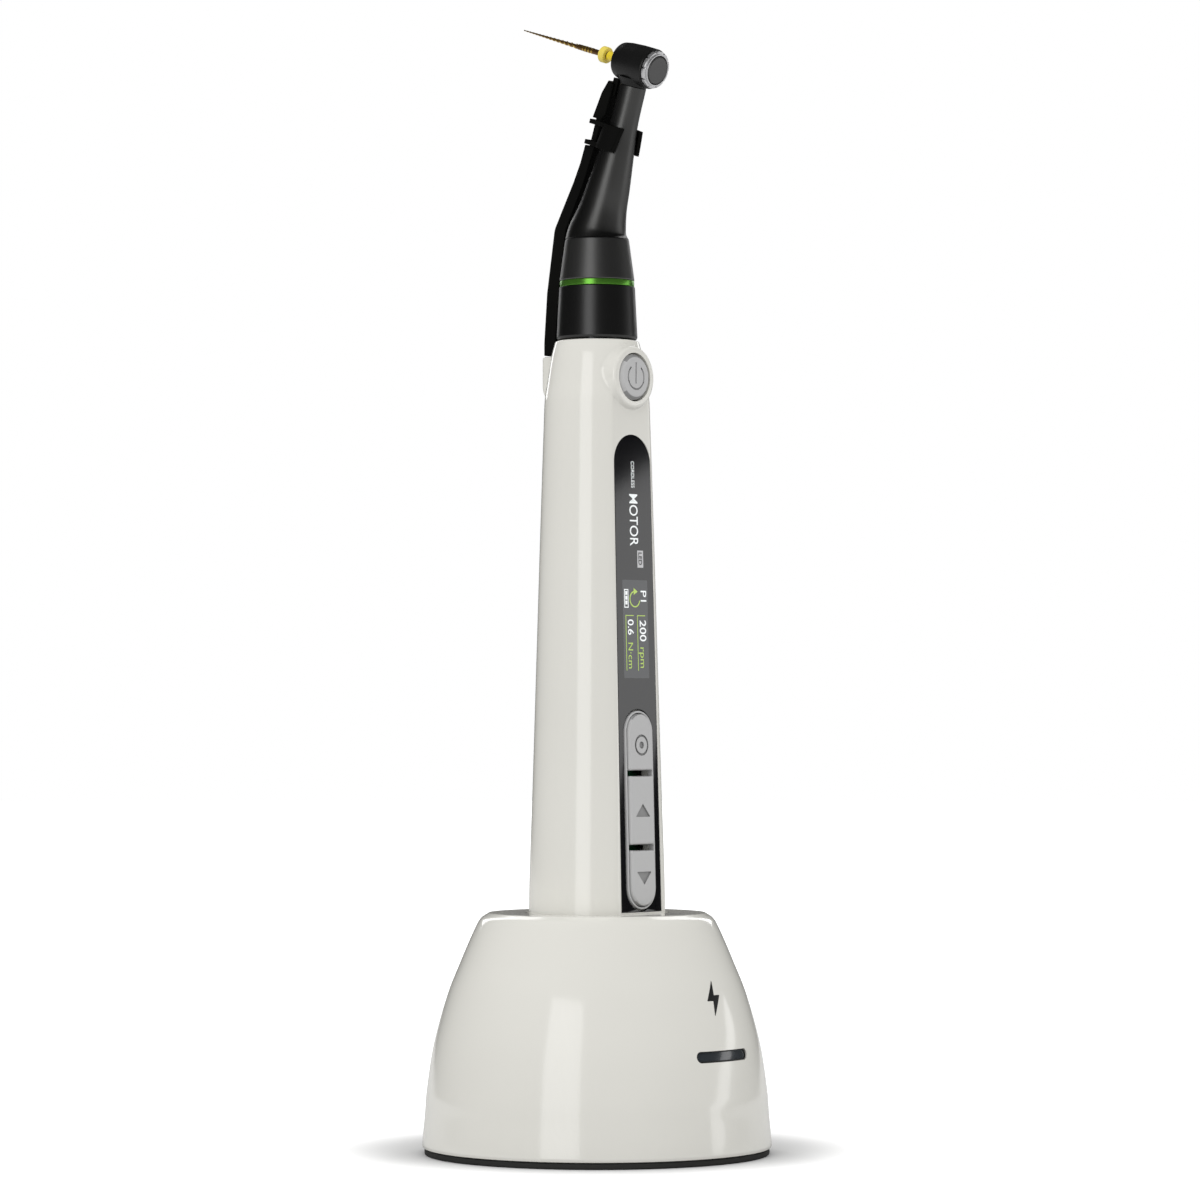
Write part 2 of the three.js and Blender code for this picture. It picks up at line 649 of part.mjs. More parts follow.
function lightGuideArm() {
  const { half, recessLow, recessHigh, recessOut } = ARM;
  const points = [
    [9.5, 159.8], [12.35, 159.8], [12.35, 162.4], [11.6, 172.4], [9.6, 185.2], [4.6, 194.4],
    neckPoint(7.1, 12.8), neckPoint(7, recessLow), neckPoint(recessOut, recessLow),
    neckPoint(recessOut, recessHigh), neckPoint(6.8, recessHigh), neckPoint(6, 27.5),
    neckPoint(5, 30.2), neckPoint(3.5, 29.7), neckPoint(3.6, 27.1), neckPoint(3.75, 23.4),
    neckPoint(4.4, 22.3), neckPoint(4.5, 16.2), neckPoint(5.1, 8.7),
    [6.7, 184.8], [8.45, 172.3], [9.4, 162.4],
  ];
  const plug = box(-1, 1, 9.75, 10.95, 154.9, 160);
  const lensRoom = slab([neckPoint(3, 31), neckPoint(3, 27.5), neckPoint(4.3, 27.5),
    neckPoint(4.3, 31)], 1.3);
  return cut(join(slab(points, half), plug), lensRoom);
}

function lightTip() {
  const points = [neckPoint(3.45, 29.4), neckPoint(3.45, 27.6), neckPoint(4.2, 27.6),
    neckPoint(4.2, 29.9)];
  return slab(points, 1.2);
}

// The clip: two jaws around the neck, joined behind the arm by two bands.
function neckClip() {
  const low = ARM.recessLow + GAP;
  const high = ARM.recessHigh - GAP;
  const jaws = turned([[3.95, low], [4.6, low], [4, high], [3.3, high], [3.95, low]], 24);
  const mouth = upright([[-5, -6.2], [5, -6.2], [0, -0.2]], low - 1, high + 1);
  const armRoom = box(-ARM.half - GAP, ARM.half + GAP, 1.5, ARM.recessOut + GAP, low - 1, high + 1);
  const bands = [];
  for (const start of [low, high - 0.9]) {
    bands.push(box(-2.9, 2.9, 2.4, ARM.recessOut + 0.8, start, start + 0.9));
  }
  const neckRoom = turned([[0, low - 2], [4.05, low - 2], [3.95, low], [3.3, high],
    [3.2, high + 2], [0, high + 2]], 24);
  return cut(join(cut(jaws, mouth), ...bands), armRoom, neckRoom);
}

function headRing() {
  return turnedAlongFile([[2.95, -5.25], [3.2, -5.25], [3.2, -4.95], [3.75, -4.95], [3.75, -4.2],
    [2.95, -4.2], [2.95, -5.25]], 20);
}

function discSpring() {
  return turnedAlongFile([[1.9, -3.85], [2.1, -3.95], [2.7, -3.6], [2.6, -3.4], [1.9, -3.85]], SMALL);
}

function buildContra() {
  const { low, high, bore } = SLEEVE;
  const sleeve = turned([[bore, low], [7.9, low], [8.1, low + 0.3], [7.6, high], [bore, high],
    [bore, low]], 24);
  addPart(contra, 'rear_sleeve', sleeve, FINISH.glossBlack);
  addPart(contra, 'colour_ring', ring(5.6, 7.45, high + 0.05, CONE.low - 0.05, 24), FINISH.ringGreen);
  const cone = turned([[4.9, CONE.low], [7.5, CONE.low], [6.4, CONE.high], [4.6, CONE.high],
    [4.9, CONE.low]], 24);
  addPart(contra, 'sheath_cone', cone, FINISH.satinBlack);
  addPart(contra, 'neck_sheath', neckSheath(), FINISH.satinBlack);
  addPart(contra, 'shaft_bearing', ring(1.65, 4.3, 177, 179.4), FINISH.brightSteel);
  addPart(contra, 'drive_shaft', driveShaft(), FINISH.steel);
  addPart(contra, 'light_guide_arm', lightGuideArm(), FINISH.armBlack);
  addPart(contra, 'light_tip', lightTip(), FINISH.clear);
  addPart(neck, 'neck_clip', neckClip(), FINISH.armBlack);
  addPart(neck, 'neck_bearing', ring(0.95, 1.5, 26.5, 28), FINISH.brightSteel);
  addPart(neck, 'neck_shaft', neckShaft(), FINISH.steel);
}

function buildHead() {
  addPart(head, 'head_housing', headHousing(), FINISH.satinBlack);
  addPart(head, 'head_ring', headRing(), FINISH.brightSteel);
  addPart(head, 'head_bearing_rear', ringAlongFile(1.75, 3.1, -3.2, -2.35), FINISH.brightSteel);
  addPart(head, 'head_bearing_front', ringAlongFile(1.75, 3.1, 2.5, 3.6), FINISH.brightSteel);
  addPart(head, 'cap_disc_spring', discSpring(), FINISH.steel);
  addPart(head, 'spindle', spindleSolid(), FINISH.steel);
  const cap = turnedAlongFile([[0, -5.45], [2.6, -5.45], [2.75, -5.3], [2.75, -4.5], [0, -4.5]], 24);
  addPart(head, 'push_cap', cap, FINISH.capGrey);
}

// ---------- file ----------

function buildFile() {
  const { shank, handle, blade, tip } = FILE;
  const file = turnedAlongFile([
    [0, -1.2], [shank, -1.2], [shank, 4.6], [handle, 5], [handle, 7.8], [blade, 8], [blade, 15.2],
    [0.1, tip - 0.2], [0, tip],
  ], 12);
  addPart(head, 'file', file, FINISH.fileGold);
  const { low, high, radius, bore } = STOP;
  const stop = turnedAlongFile([[bore, low], [radius - 0.2, low], [radius, low + 0.2],
    [radius, high - 0.2], [radius - 0.2, high], [bore, high], [bore, low]], SMALL);
  addPart(head, 'file_stop', stop, FINISH.stopYellow);
}

buildBase();
buildHandle();
buildKeys();
buildMotor();
buildContra();
buildHead();
buildFile();

export default motor;
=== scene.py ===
"""Looks of the cordless endodontic motor on its charging base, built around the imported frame.

Lengths in this script are millimetres in the frame's own axes, scaled to metres where a mesh is made.
The display and keys face -Y and the file points to +Y.
"""

import json
import math

import bmesh
import bpy
from mathutils import Matrix, Vector


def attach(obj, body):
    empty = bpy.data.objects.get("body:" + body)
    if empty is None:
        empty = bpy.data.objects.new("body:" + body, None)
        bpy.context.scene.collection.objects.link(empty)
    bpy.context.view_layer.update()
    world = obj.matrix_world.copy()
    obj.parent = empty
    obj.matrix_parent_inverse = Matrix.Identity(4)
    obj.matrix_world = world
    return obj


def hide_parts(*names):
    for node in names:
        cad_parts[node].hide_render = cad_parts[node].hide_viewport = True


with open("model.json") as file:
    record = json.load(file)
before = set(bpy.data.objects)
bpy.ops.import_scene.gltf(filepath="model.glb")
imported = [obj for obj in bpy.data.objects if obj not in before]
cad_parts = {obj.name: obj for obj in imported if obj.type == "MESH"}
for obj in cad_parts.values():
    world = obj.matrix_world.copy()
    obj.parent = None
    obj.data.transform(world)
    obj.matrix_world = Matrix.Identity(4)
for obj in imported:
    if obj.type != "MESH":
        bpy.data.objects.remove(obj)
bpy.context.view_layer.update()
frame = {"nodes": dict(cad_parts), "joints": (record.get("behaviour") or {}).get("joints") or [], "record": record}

MM = 0.001
AXIS = Matrix.Identity(4)

# ---------- driving dimensions, as in the CAD part ----------

FLAT_HEIGHT = 50.4
FLAT_DEPTH = 11.5
LIP = 48.0
HANDLE_TOP = 162.2
POWER_HEIGHT = 154.6
POWER_FACE = 9.8
BOSS_FLAT = 5.55
BOSS_EDGE = 0.7
BOSS_SLOPE = 4.5
BUTTON_RADIUS = 4.55
GLASS = {"low": 48.4, "high": 143.1, "half_low": 6.2, "half_high": 5.6, "thick": 1.0}
KEYS = {"low": 49.5, "high": 87.6, "half": 3.65, "proud": 0.9, "back": 2.0}
KEY_ROWS = (("set", 76.4, 87.6), ("up", 61.7, 75.3), ("down", 49.5, 60.6))
SET_MARK_HEIGHT = 81.4
MARK_DEPTH = 0.3
SCREEN = {"low": 94.7, "high": 114.2, "half": 3.9}
SCREEN_WINDOW = {"low": 91.6, "high": 116.8, "half": 5.2}
SLOT_HEIGHT = 20.9
EMBLEM_HEIGHT = 32.0
SOCKET_HEIGHT = 8.5
NECK_START = 182.6
BEND_RADIUS = 8.0


def joint(name):
    """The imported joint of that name."""
    return next(j for j in frame["joints"] if j["name"] == name)


def axes_frame(origin, up, forward):
    """A 4x4 in millimetres with that origin, local Z along up and local Y along forward."""
    z, y = Vector(up).normalized(), Vector(forward).normalized()
    turn = Matrix((y.cross(z), y, z)).transposed()
    return Matrix.Translation(Vector(origin)) @ turn.to_4x4()


FILE_AXIS = Vector(joint("spindle_spin")["axis"])
NECK_AXIS = Vector(joint("neck_shaft_spin")["axis"])
BEND_POINT = Vector(joint("neck_shaft_spin")["pos_m"]) / MM
HEAD_POINT = Vector(joint("spindle_spin")["pos_m"]) / MM
KEY_PUSH = Vector(joint("set_press")["axis"])
NECK = axes_frame(BEND_POINT, NECK_AXIS, FILE_AXIS)
HEAD = axes_frame(HEAD_POINT, NECK_AXIS, FILE_AXIS)
FACE = axes_frame((0, -FLAT_DEPTH, FLAT_HEIGHT), (0, -KEY_PUSH.z, KEY_PUSH.y), KEY_PUSH)
BEND = math.acos(NECK_AXIS.z)
TILT = math.acos(KEY_PUSH.y)
ALONG_FILE = Matrix.Rotation(-math.pi / 2, 4, "X")   # turns a piece made along Z to lie along Y
FACING_FRONT = Matrix.Rotation(math.pi / 2, 4, "X")  # stands a piece drawn in X and Y upright


def face_height(height):
    """Local height on the handle's flat of a height in the frame."""
    return (height - FLAT_HEIGHT) / math.cos(TILT)


# ---------- camera, lights and floor ----------

CAMERA_AZIMUTH = math.radians(-50)
CAMERA_DISTANCE = 0.920
CAMERA_HEIGHT = 0.0864
CAMERA_PITCH = math.radians(1.494)
CAMERA_YAW = math.radians(-0.037)
SHADE_SHIFT = 0.010


def around(azimuth, distance, height):
    """A point in metres: azimuth 0 is in front of the object, towards -Y, and grows to the right."""
    return Vector((math.sin(azimuth) * distance, -math.cos(azimuth) * distance, height))


def make_camera():
    data = bpy.data.cameras.new("camera")
    data.lens = 138
    data.sensor_width = 36
    data.clip_start = 0.05
    camera = bpy.data.objects.new("camera", data)
    camera.location = around(CAMERA_AZIMUTH, CAMERA_DISTANCE, CAMERA_HEIGHT)
    camera.rotation_euler = (math.pi / 2 + CAMERA_PITCH, 0, CAMERA_AZIMUTH + CAMERA_YAW)
    bpy.context.scene.collection.objects.link(camera)
    bpy.context.scene.camera = camera


def softbox(name, azimuth, distance, height, size, glow, target_height=0.11):
    """An area light of an even glow, at an azimuth counted from the camera's side."""
    data = bpy.data.lights.new(name, "AREA")
    data.shape = "RECTANGLE"
    data.size, data.size_y = size
    data.energy = glow * math.pi * size[0] * size[1]
    light = bpy.data.objects.new(name, data)
    light.location = around(CAMERA_AZIMUTH + math.radians(azimuth), distance, height)
    aim = Vector((0, 0, target_height)) - light.location
    light.rotation_euler = aim.to_track_quat("-Z", "Y").to_euler()
    bpy.context.scene.collection.objects.link(light)
    return light


def make_world():
    """White to the camera, even light for diffuse rays, and nearly black in reflections."""
    world = bpy.data.worlds.new("studio")
    bpy.context.scene.world = world
    world.use_nodes = True
    tree = world.node_tree
    tree.nodes.clear()
    output = tree.nodes.new("ShaderNodeOutputWorld")
    path = tree.nodes.new("ShaderNodeLightPath")
    shades = []
    for strength in (1.0, 1.02, 0.04):
        shade = tree.nodes.new("ShaderNodeBackground")
        shade.inputs["Color"].default_value = (1, 1, 1, 1)
        shade.inputs["Strength"].default_value = strength
        shades.append(shade)
    white, even, dark = shades
    glossy = tree.nodes.new("ShaderNodeMixShader")
    seen = tree.nodes.new("ShaderNodeMixShader")
    tree.links.new(path.outputs["Is Glossy Ray"], glossy.inputs[0])
    tree.links.new(even.outputs[0], glossy.inputs[1])
    tree.links.new(dark.outputs[0], glossy.inputs[2])
    tree.links.new(path.outputs["Is Camera Ray"], seen.inputs[0])
    tree.links.new(glossy.outputs[0], seen.inputs[1])
    tree.links.new(white.outputs[0], seen.inputs[2])
    tree.links.new(seen.outputs[0], output.inputs["Surface"])


def stepped(tree, source, low, high, to_low, to_high):
    """A socket's value, taken smoothly from one level to another between low and high."""
    node = tree.nodes.new("ShaderNodeMapRange")
    node.interpolation_type = "SMOOTHSTEP"
    levels = {"From Min": low, "From Max": high, "To Min": to_low, "To Max": to_high}
    for name, value in levels.items():
        node.inputs[name].default_value = value
    tree.links.new(source, node.inputs["Value"])
    return node.outputs["Result"]


def product(tree, first, second):
    node = tree.nodes.new("ShaderNodeMath")
    node.operation = "MULTIPLY"
    tree.links.new(first, node.inputs[0])
    tree.links.new(second, node.inputs[1])
    return node.outputs["Value"]


def make_floor():
    """A pale round floor. It is toned darker close to the base, like a contact shadow, about a point
    a little beyond the axis as the rest camera sees it. It glows white further out, for camera rays
    only, and is darker to every other ray, so that it doesn't flood the base with light."""
    bpy.ops.mesh.primitive_circle_add(vertices=96, radius=4.0, fill_type="NGON", location=(0, 0, 0))
    floor = bpy.context.object
    floor.name = "floor"
    material = bpy.data.materials.new("floor_white")
    material.use_nodes = True
    tree = material.node_tree
    shader = tree.nodes["Principled BSDF"]
    shader.inputs["Roughness"].default_value = 0.6
    shader.inputs["Specular IOR Level"].default_value = 0.0
    shader.inputs["Emission Color"].default_value = (1, 1, 1, 1)
    place = tree.nodes.new("ShaderNodeNewGeometry")
    centre = tree.nodes.new("ShaderNodeVectorMath")
    centre.operation = "SUBTRACT"
    centre.inputs[1].default_value = around(CAMERA_AZIMUTH + math.pi, SHADE_SHIFT, 0)
    length = tree.nodes.new("ShaderNodeVectorMath")
    length.operation = "LENGTH"
    tree.links.new(place.outputs["Position"], centre.inputs[0])
    tree.links.new(centre.outputs["Vector"], length.inputs[0])
    seen = tree.nodes.new("ShaderNodeLightPath").outputs["Is Camera Ray"]
    tone = stepped(tree, length.outputs["Value"], 0.034, 0.056, 0.58, 0.9)
    tree.links.new(product(tree, tone, stepped(tree, seen, 0, 1, 0.6, 1)),
                   shader.inputs["Base Color"])
    fade = stepped(tree, length.outputs["Value"], 0.040, 0.075, 0.0, 0.45)
    tree.links.new(product(tree, fade, seen), shader.inputs["Emission Strength"])
    floor.data.materials.append(material)


def make_studio():
    make_camera()
    make_world()
    make_floor()
    softbox("front_left_box", -24, 1.1, 0.22, (0.50, 1.0), 2.05)
    softbox("left_rim_box", -152, 0.9, 0.62, (0.20, 0.8), 2.2)
    softbox("right_rim_box", 152, 0.9, 0.62, (0.20, 0.8), 2.2)
    panel = softbox("glass_panel", 100, 1.2, 0.172, (0.9, 0.122), 1.9, target_height=0.172)
    panel.rotation_euler.rotate_axis("Z", math.radians(22))
    bpy.context.scene.view_settings.view_transform = "Standard"


make_studio()

# ---------- materials ----------


def new_material(name, colour, roughness, metallic=0.0, coat=0.0, grain=90.0, spread=0.04,
                 bump=0.02, tint=0.03, stretch=(1, 1, 1), emission=0.0, specular=0.5):
    """A shader whose colour, roughness and bump all vary with noise. grain sets how fine the noise
    is, spread the roughness swing, tint the colour swing, and stretch brushes it."""
    material = bpy.data.materials.new(name)
    material.use_nodes = True
    tree = material.node_tree
    shader = tree.nodes["Principled BSDF"]
    shader.inputs["Metallic"].default_value = metallic
    shader.inputs["Coat Weight"].default_value = coat
    shader.inputs["Coat Roughness"].default_value = 0.06
    shader.inputs["Specular IOR Level"].default_value = specular
    where = tree.nodes.new("ShaderNodeTexCoord")
    mapping = tree.nodes.new("ShaderNodeMapping")
    mapping.inputs["Scale"].default_value = stretch
    tree.links.new(where.outputs["Object"], mapping.inputs["Vector"])

    def grained(scale, detail):
        cells = tree.nodes.new("ShaderNodeTexNoise")
        cells.inputs["Scale"].default_value = scale
        cells.inputs["Detail"].default_value = detail
        tree.links.new(mapping.outputs["Vector"], cells.inputs["Vector"])
        return cells.outputs["Fac"]

    broad = grained(grain * 0.35, 2)
    fine = grained(grain * 14, 3)
    swing = tree.nodes.new("ShaderNodeMapRange")
    swing.inputs["To Min"].default_value = max(roughness - spread, 0.02)
    swing.inputs["To Max"].default_value = min(roughness + spread, 1.0)
    tree.links.new(broad, swing.inputs["Value"])
    tree.links.new(swing.outputs["Result"], shader.inputs["Roughness"])
    shade = tree.nodes.new("ShaderNodeValToRGB")
    shade.color_ramp.elements[0].position = 0.3
    shade.color_ramp.elements[1].position = 0.7
    shade.color_ramp.elements[0].color = (*[c * (1 - tint) for c in colour], 1)
    shade.color_ramp.elements[1].color = (*[min(c * (1 + tint), 1) for c in colour], 1)
    tree.links.new(broad, shade.inputs["Fac"])
    tree.links.new(shade.outputs["Color"], shader.inputs["Base Color"])
    relief = tree.nodes.new("ShaderNodeBump")
    relief.inputs["Strength"].default_value = bump
    relief.inputs["Distance"].default_value = 0.0001
    tree.links.new(fine, relief.inputs["Height"])
    tree.links.new(relief.outputs["Normal"], shader.inputs["Normal"])
    if emission:
        shader.inputs["Emission Color"].default_value = (*colour, 1)
        shader.inputs["Emission Strength"].default_value = emission
    return material


BRUSHED = (1, 1, 0.06)

FINISHES = {
    "shell_white": new_material("shell_white", (0.74, 0.73, 0.68), 0.14, coat=0.3, spread=0.03,
                                tint=0.012, bump=0.01),
    "key_grey": new_material("key_grey", (0.50, 0.50, 0.50), 0.42, tint=0.03, bump=0.05),
    # a darker grey for the floors of sunk marks on the keys and button: painted shade in the recesses
    "key_mark_shade": new_material("key_mark_shade", (0.27, 0.27, 0.27), 0.5, tint=0.03, bump=0.05),
    "display_black": new_material("display_black", (0.003, 0.003, 0.004), 0.06, spread=0.02,
                                  tint=0.2, bump=0.004),
    "screen_dark": new_material("screen_dark", (0.055, 0.058, 0.062), 0.08, spread=0.02, bump=0.004),
    # white that glows like the screen's read-out; on the printed words above the screen the glow is painted light
    "digit_white": new_material("digit_white", (0.75, 0.78, 0.78), 0.2, emission=0.35, bump=0.0),
    "digit_green": new_material("digit_green", (0.36, 0.50, 0.09), 0.2, emission=0.4, bump=0.0),
    # the lamp tag's grey print, whose glow is painted light
    "tag_grey": new_material("tag_grey", (0.46, 0.46, 0.47), 0.25, emission=0.25, bump=0.0),
    "indicator_smoke": new_material("indicator_smoke", (0.03, 0.035, 0.04), 0.14, coat=0.5),
    # near-black for the emblem, the lamp word and the socket's tongue; on the ring round the indicator lens it is
    # painted shade in the gap
    "black_and_gap_shade": new_material("black_and_gap_shade", (0.012, 0.012, 0.012), 0.4),
    # a lighter copy of the sheath's black, for its cone: painted light
    "cone_black_painted_light": new_material("cone_black_painted_light", (0.17, 0.17, 0.168), 0.44, metallic=1.0,
                               spread=0.05, tint=0.1, bump=0.08, stretch=BRUSHED),
    # a far darker copy of the sheath's black, for the head: painted shade
    "head_black_painted_shade": new_material("head_black_painted_shade", (0.007, 0.007, 0.007), 0.4, specular=0.35,
                               spread=0.05, tint=0.15, bump=0.08),
    "ring_steel": new_material("ring_steel", (0.70, 0.70, 0.71), 0.34, metallic=0.85, bump=0.05),
    "sheath_black": new_material("sheath_black", (0.10, 0.10, 0.098), 0.36, metallic=1.0,
                                 spread=0.05, tint=0.1, bump=0.08, stretch=BRUSHED),
    "sleeve_black": new_material("sleeve_black", (0.07, 0.07, 0.07), 0.35, metallic=1.0,
                                 spread=0.04, tint=0.1, bump=0.06, stretch=BRUSHED),
    "arm_black": new_material("arm_black", (0.004, 0.004, 0.0035), 0.75, tint=0.15, bump=0.25,
                              specular=0.08),
    "ring_green": new_material("ring_green", (0.14, 0.42, 0.05), 0.26, metallic=0.85,
                               stretch=BRUSHED),
    "cap_grey": new_material("cap_grey", (0.11, 0.11, 0.11), 0.42, metallic=0.6, bump=0.12),
    "bright_steel": new_material("bright_steel", (0.72, 0.73, 0.75), 0.16, metallic=1.0, bump=0.04),
    "steel": new_material("steel", (0.42, 0.43, 0.45), 0.32, metallic=1.0, bump=0.1,
                          stretch=BRUSHED),
    "copper_wire": new_material("copper_wire", (0.55, 0.22, 0.09), 0.35, metallic=1.0, bump=0.4,
                                stretch=(1, 1, 12)),
    "ferrite": new_material("ferrite", (0.035, 0.035, 0.038), 0.7, bump=0.3),
    "circuit_board": new_material("circuit_board", (0.02, 0.12, 0.05), 0.4, tint=0.25, bump=0.1),
    "rubber_dark": new_material("rubber_dark", (0.022, 0.022, 0.020), 0.78, tint=0.12, bump=0.5),
    "file_gold": new_material("file_gold", (0.62, 0.42, 0.09), 0.25, metallic=0.95, tint=0.1),
    # brown for the file's shank, and on the blade's grooves, where it is painted shade
    "file_brown": new_material("file_brown", (0.16, 0.085, 0.03), 0.35, metallic=0.8, tint=0.2),
    "stop_yellow": new_material("stop_yellow", (0.82, 0.66, 0.10), 0.4, coat=0.2, bump=0.1),
    "handle_yellow": new_material("handle_yellow", (0.82, 0.62, 0.02), 0.3, coat=0.3),
    "lens_clear": new_material("lens_clear", (0.8, 0.84, 0.86), 0.1, coat=0.5),
    "inner_white": new_material("inner_white", (0.6, 0.6, 0.56), 0.45, bump=0.1),
    "cell_blue": new_material("cell_blue", (0.03, 0.12, 0.3), 0.35, coat=0.2),
}

# ---------- mesh helpers ----------


def finish_piece(obj, body, slot, nodes=(), material=None, sharp=32):
    """Shades a piece, gives it its material, and ties it to its CAD body and nodes."""
    data = obj.data
    data.polygons.foreach_set("use_smooth", [True] * len(data.polygons))
    data.set_sharp_from_angle(angle=math.radians(sharp))
    if not data.materials:
        data.materials.append(material or FINISHES[slot])
    weighted = obj.modifiers.new("weighted_normals", "WEIGHTED_NORMAL")
    weighted.keep_sharp = True
    weighted.weight = 100
    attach(obj, body)
    if nodes:
        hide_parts(*nodes)
    return obj


def link_mesh(name, points, faces, place=AXIS):
    """An object from points in millimetres in the frame that place gives."""
    mesh = bpy.data.meshes.new(name)
    mesh.from_pydata([place @ Vector(p) * MM for p in points], [], faces)
    work = bmesh.new()
    work.from_mesh(mesh)
    bmesh.ops.remove_doubles(work, verts=work.verts, dist=1e-7)
    bmesh.ops.recalc_face_normals(work, faces=work.faces)
    work.to_mesh(mesh)
    work.free()
    obj = bpy.data.objects.new(name, mesh)
    bpy.context.scene.collection.objects.link(obj)
    return obj


def loft(name, rings, place=AXIS, closed=False):
    """A skin over rings of equal length, capped at both ends, or joined end to end if closed."""
    count = len(rings[0])
    points = [p for ring in rings for p in ring]
    faces = []
    steps = len(rings) if closed else len(rings) - 1
    for i in range(steps):
        low, high = i * count, (i + 1) % len(rings) * count
        for j in range(count):
            k = (j + 1) % count
            faces.append((low + j, low + k, high + k, high + j))
    if not closed:
        faces.append(tuple(range(count)))
        faces.append(tuple(range((len(rings) - 1) * count, len(rings) * count)))
    return link_mesh(name, points, faces, place)


def softened(profile, closed=False, steps=5):
    """A profile whose corners given as (a, b, radius) are turned into arcs."""
    result = []
    count = len(profile)
    for i, corner in enumerate(profile):
        here = Vector(corner[:2])
        if len(corner) < 3 or (not closed and i in (0, count - 1)):
            result.append(tuple(here))
            continue
        before = Vector(profile[i - 1][:2]) - here
        after = Vector(profile[(i + 1) % count][:2]) - here
        half = before.angle(after) / 2
        reach = min(corner[2] / math.tan(half), before.length * 0.49, after.length * 0.49)
        start, end = here + before.normalized() * reach, here + after.normalized() * reach
        for k in range(steps + 1):
            t = k / steps
            result.append(tuple(start * (1 - t) ** 2 + here * 2 * t * (1 - t) + end * t ** 2))
    return result


def lathe(name, profile, place=AXIS, closed=False, segments=96, radius_at=None):
    """A profile of (radius, height) turned about local Z. radius_at can vary it with the angle."""
    rings = []
    for radius, height in profile:
        ring = []
        for i in range(segments):
            angle = 2 * math.pi * i / segments
            r = radius_at(radius, height, angle) if radius_at else radius
            ring.append((r * math.cos(angle), r * math.sin(angle), height))
        rings.append(ring)
    return loft(name, rings, place, closed)


def apply_modifiers(obj):
    graph = bpy.context.evaluated_depsgraph_get()
    made = bpy.data.meshes.new_from_object(obj.evaluated_get(graph))
    old = obj.data
    obj.modifiers.clear()
    obj.data = made
    bpy.data.meshes.remove(old)
    return obj


def combine(obj, others, operation):
    """Joins, cuts or keeps what is common with the other objects, which are used up."""
    for other in others:
        modifier = obj.modifiers.new("combine", "BOOLEAN")
        modifier.operation = operation
        modifier.solver = "EXACT"
        modifier.object = other
    apply_modifiers(obj)
    for other in others:
        bpy.data.objects.remove(other)
    return obj


def carve(obj, *cutters):
    return combine(obj, cutters, "DIFFERENCE")


def arc(centre, radius, start, end, steps=16):
    """Points of an arc, angles in degrees."""
    points = []
    for i in range(steps + 1):
        angle = math.radians(start + (end - start) * i / steps)
        points.append((centre[0] + radius * math.cos(angle), centre[1] + radius * math.sin(angle)))
    return points


def obround(low, high, half, steps=20):
    """A strip with round ends between two heights."""
    return arc((0, high - half), half, 0, 180, steps) + arc((0, low + half), half, 180, 360, steps)


def sheet_of(name, outlines, thick, bevel=0.0, steps=3):
    """A plate drawn in X and Y, centred in Z, with rounded edges. Inner outlines are holes."""
    curve = bpy.data.curves.new(name, "CURVE")
    curve.dimensions = "2D"
    curve.fill_mode = "BOTH"
    curve.extrude = (thick / 2 - bevel) * MM
    curve.bevel_depth = bevel * MM
    curve.bevel_resolution = steps
    curve.offset = -bevel * MM
    for outline in outlines:
        spline = curve.splines.new("POLY")
        spline.points.add(len(outline) - 1)
        spline.use_cyclic_u = True
        for point, (x, y) in zip(spline.points, outline):
            point.co = (x * MM, y * MM, 0, 1)
    source = bpy.data.objects.new(name, curve)
    bpy.context.scene.collection.objects.link(source)
    graph = bpy.context.evaluated_depsgraph_get()
    mesh = bpy.data.meshes.new_from_object(source.evaluated_get(graph))
    bpy.data.objects.remove(source)
    work = bmesh.new()
    work.from_mesh(mesh)
    bmesh.ops.remove_doubles(work, verts=work.verts, dist=2e-7)
    bmesh.ops.recalc_face_normals(work, faces=work.faces)
    work.to_mesh(mesh)
    work.free()
    obj = bpy.data.objects.new(name, mesh)
    bpy.context.scene.collection.objects.link(obj)
    return obj


def move_mesh(obj, place):
    """Moves a mesh made about the origin, in metres, into the frame that place gives."""
    scaled = place.copy()
    scaled.translation = place.translation * MM
    obj.data.transform(scaled)
    return obj


def plate(name, outlines, front, back, place=FACE, bevel=0.0, steps=3):
    """A plate drawn in local X and Z, filling local Y from front to back."""
    obj = sheet_of(name, outlines, back - front, bevel, steps)
    middle = Matrix.Translation((0, (front + back) / 2, 0))
    return move_mesh(obj, place @ middle @ FACING_FRONT)


def block(name, low, high, place=AXIS, bevel=0.0):
    """A box between two corners, with rounded edges."""
    points = [(x, y, z) for x in (low[0], high[0]) for y in (low[1], high[1])
              for z in (low[2], high[2])]
    faces = [(0, 1, 3, 2), (4, 6, 7, 5), (0, 4, 5, 1), (2, 3, 7, 6), (0, 2, 6, 4), (1, 5, 7, 3)]
    obj = link_mesh(name, points, faces, place)
    if bevel:
        modifier = obj.modifiers.new("bevel", "BEVEL")
        modifier.width = bevel * MM
        modifier.segments = 3
        apply_modifiers(obj)
    return obj


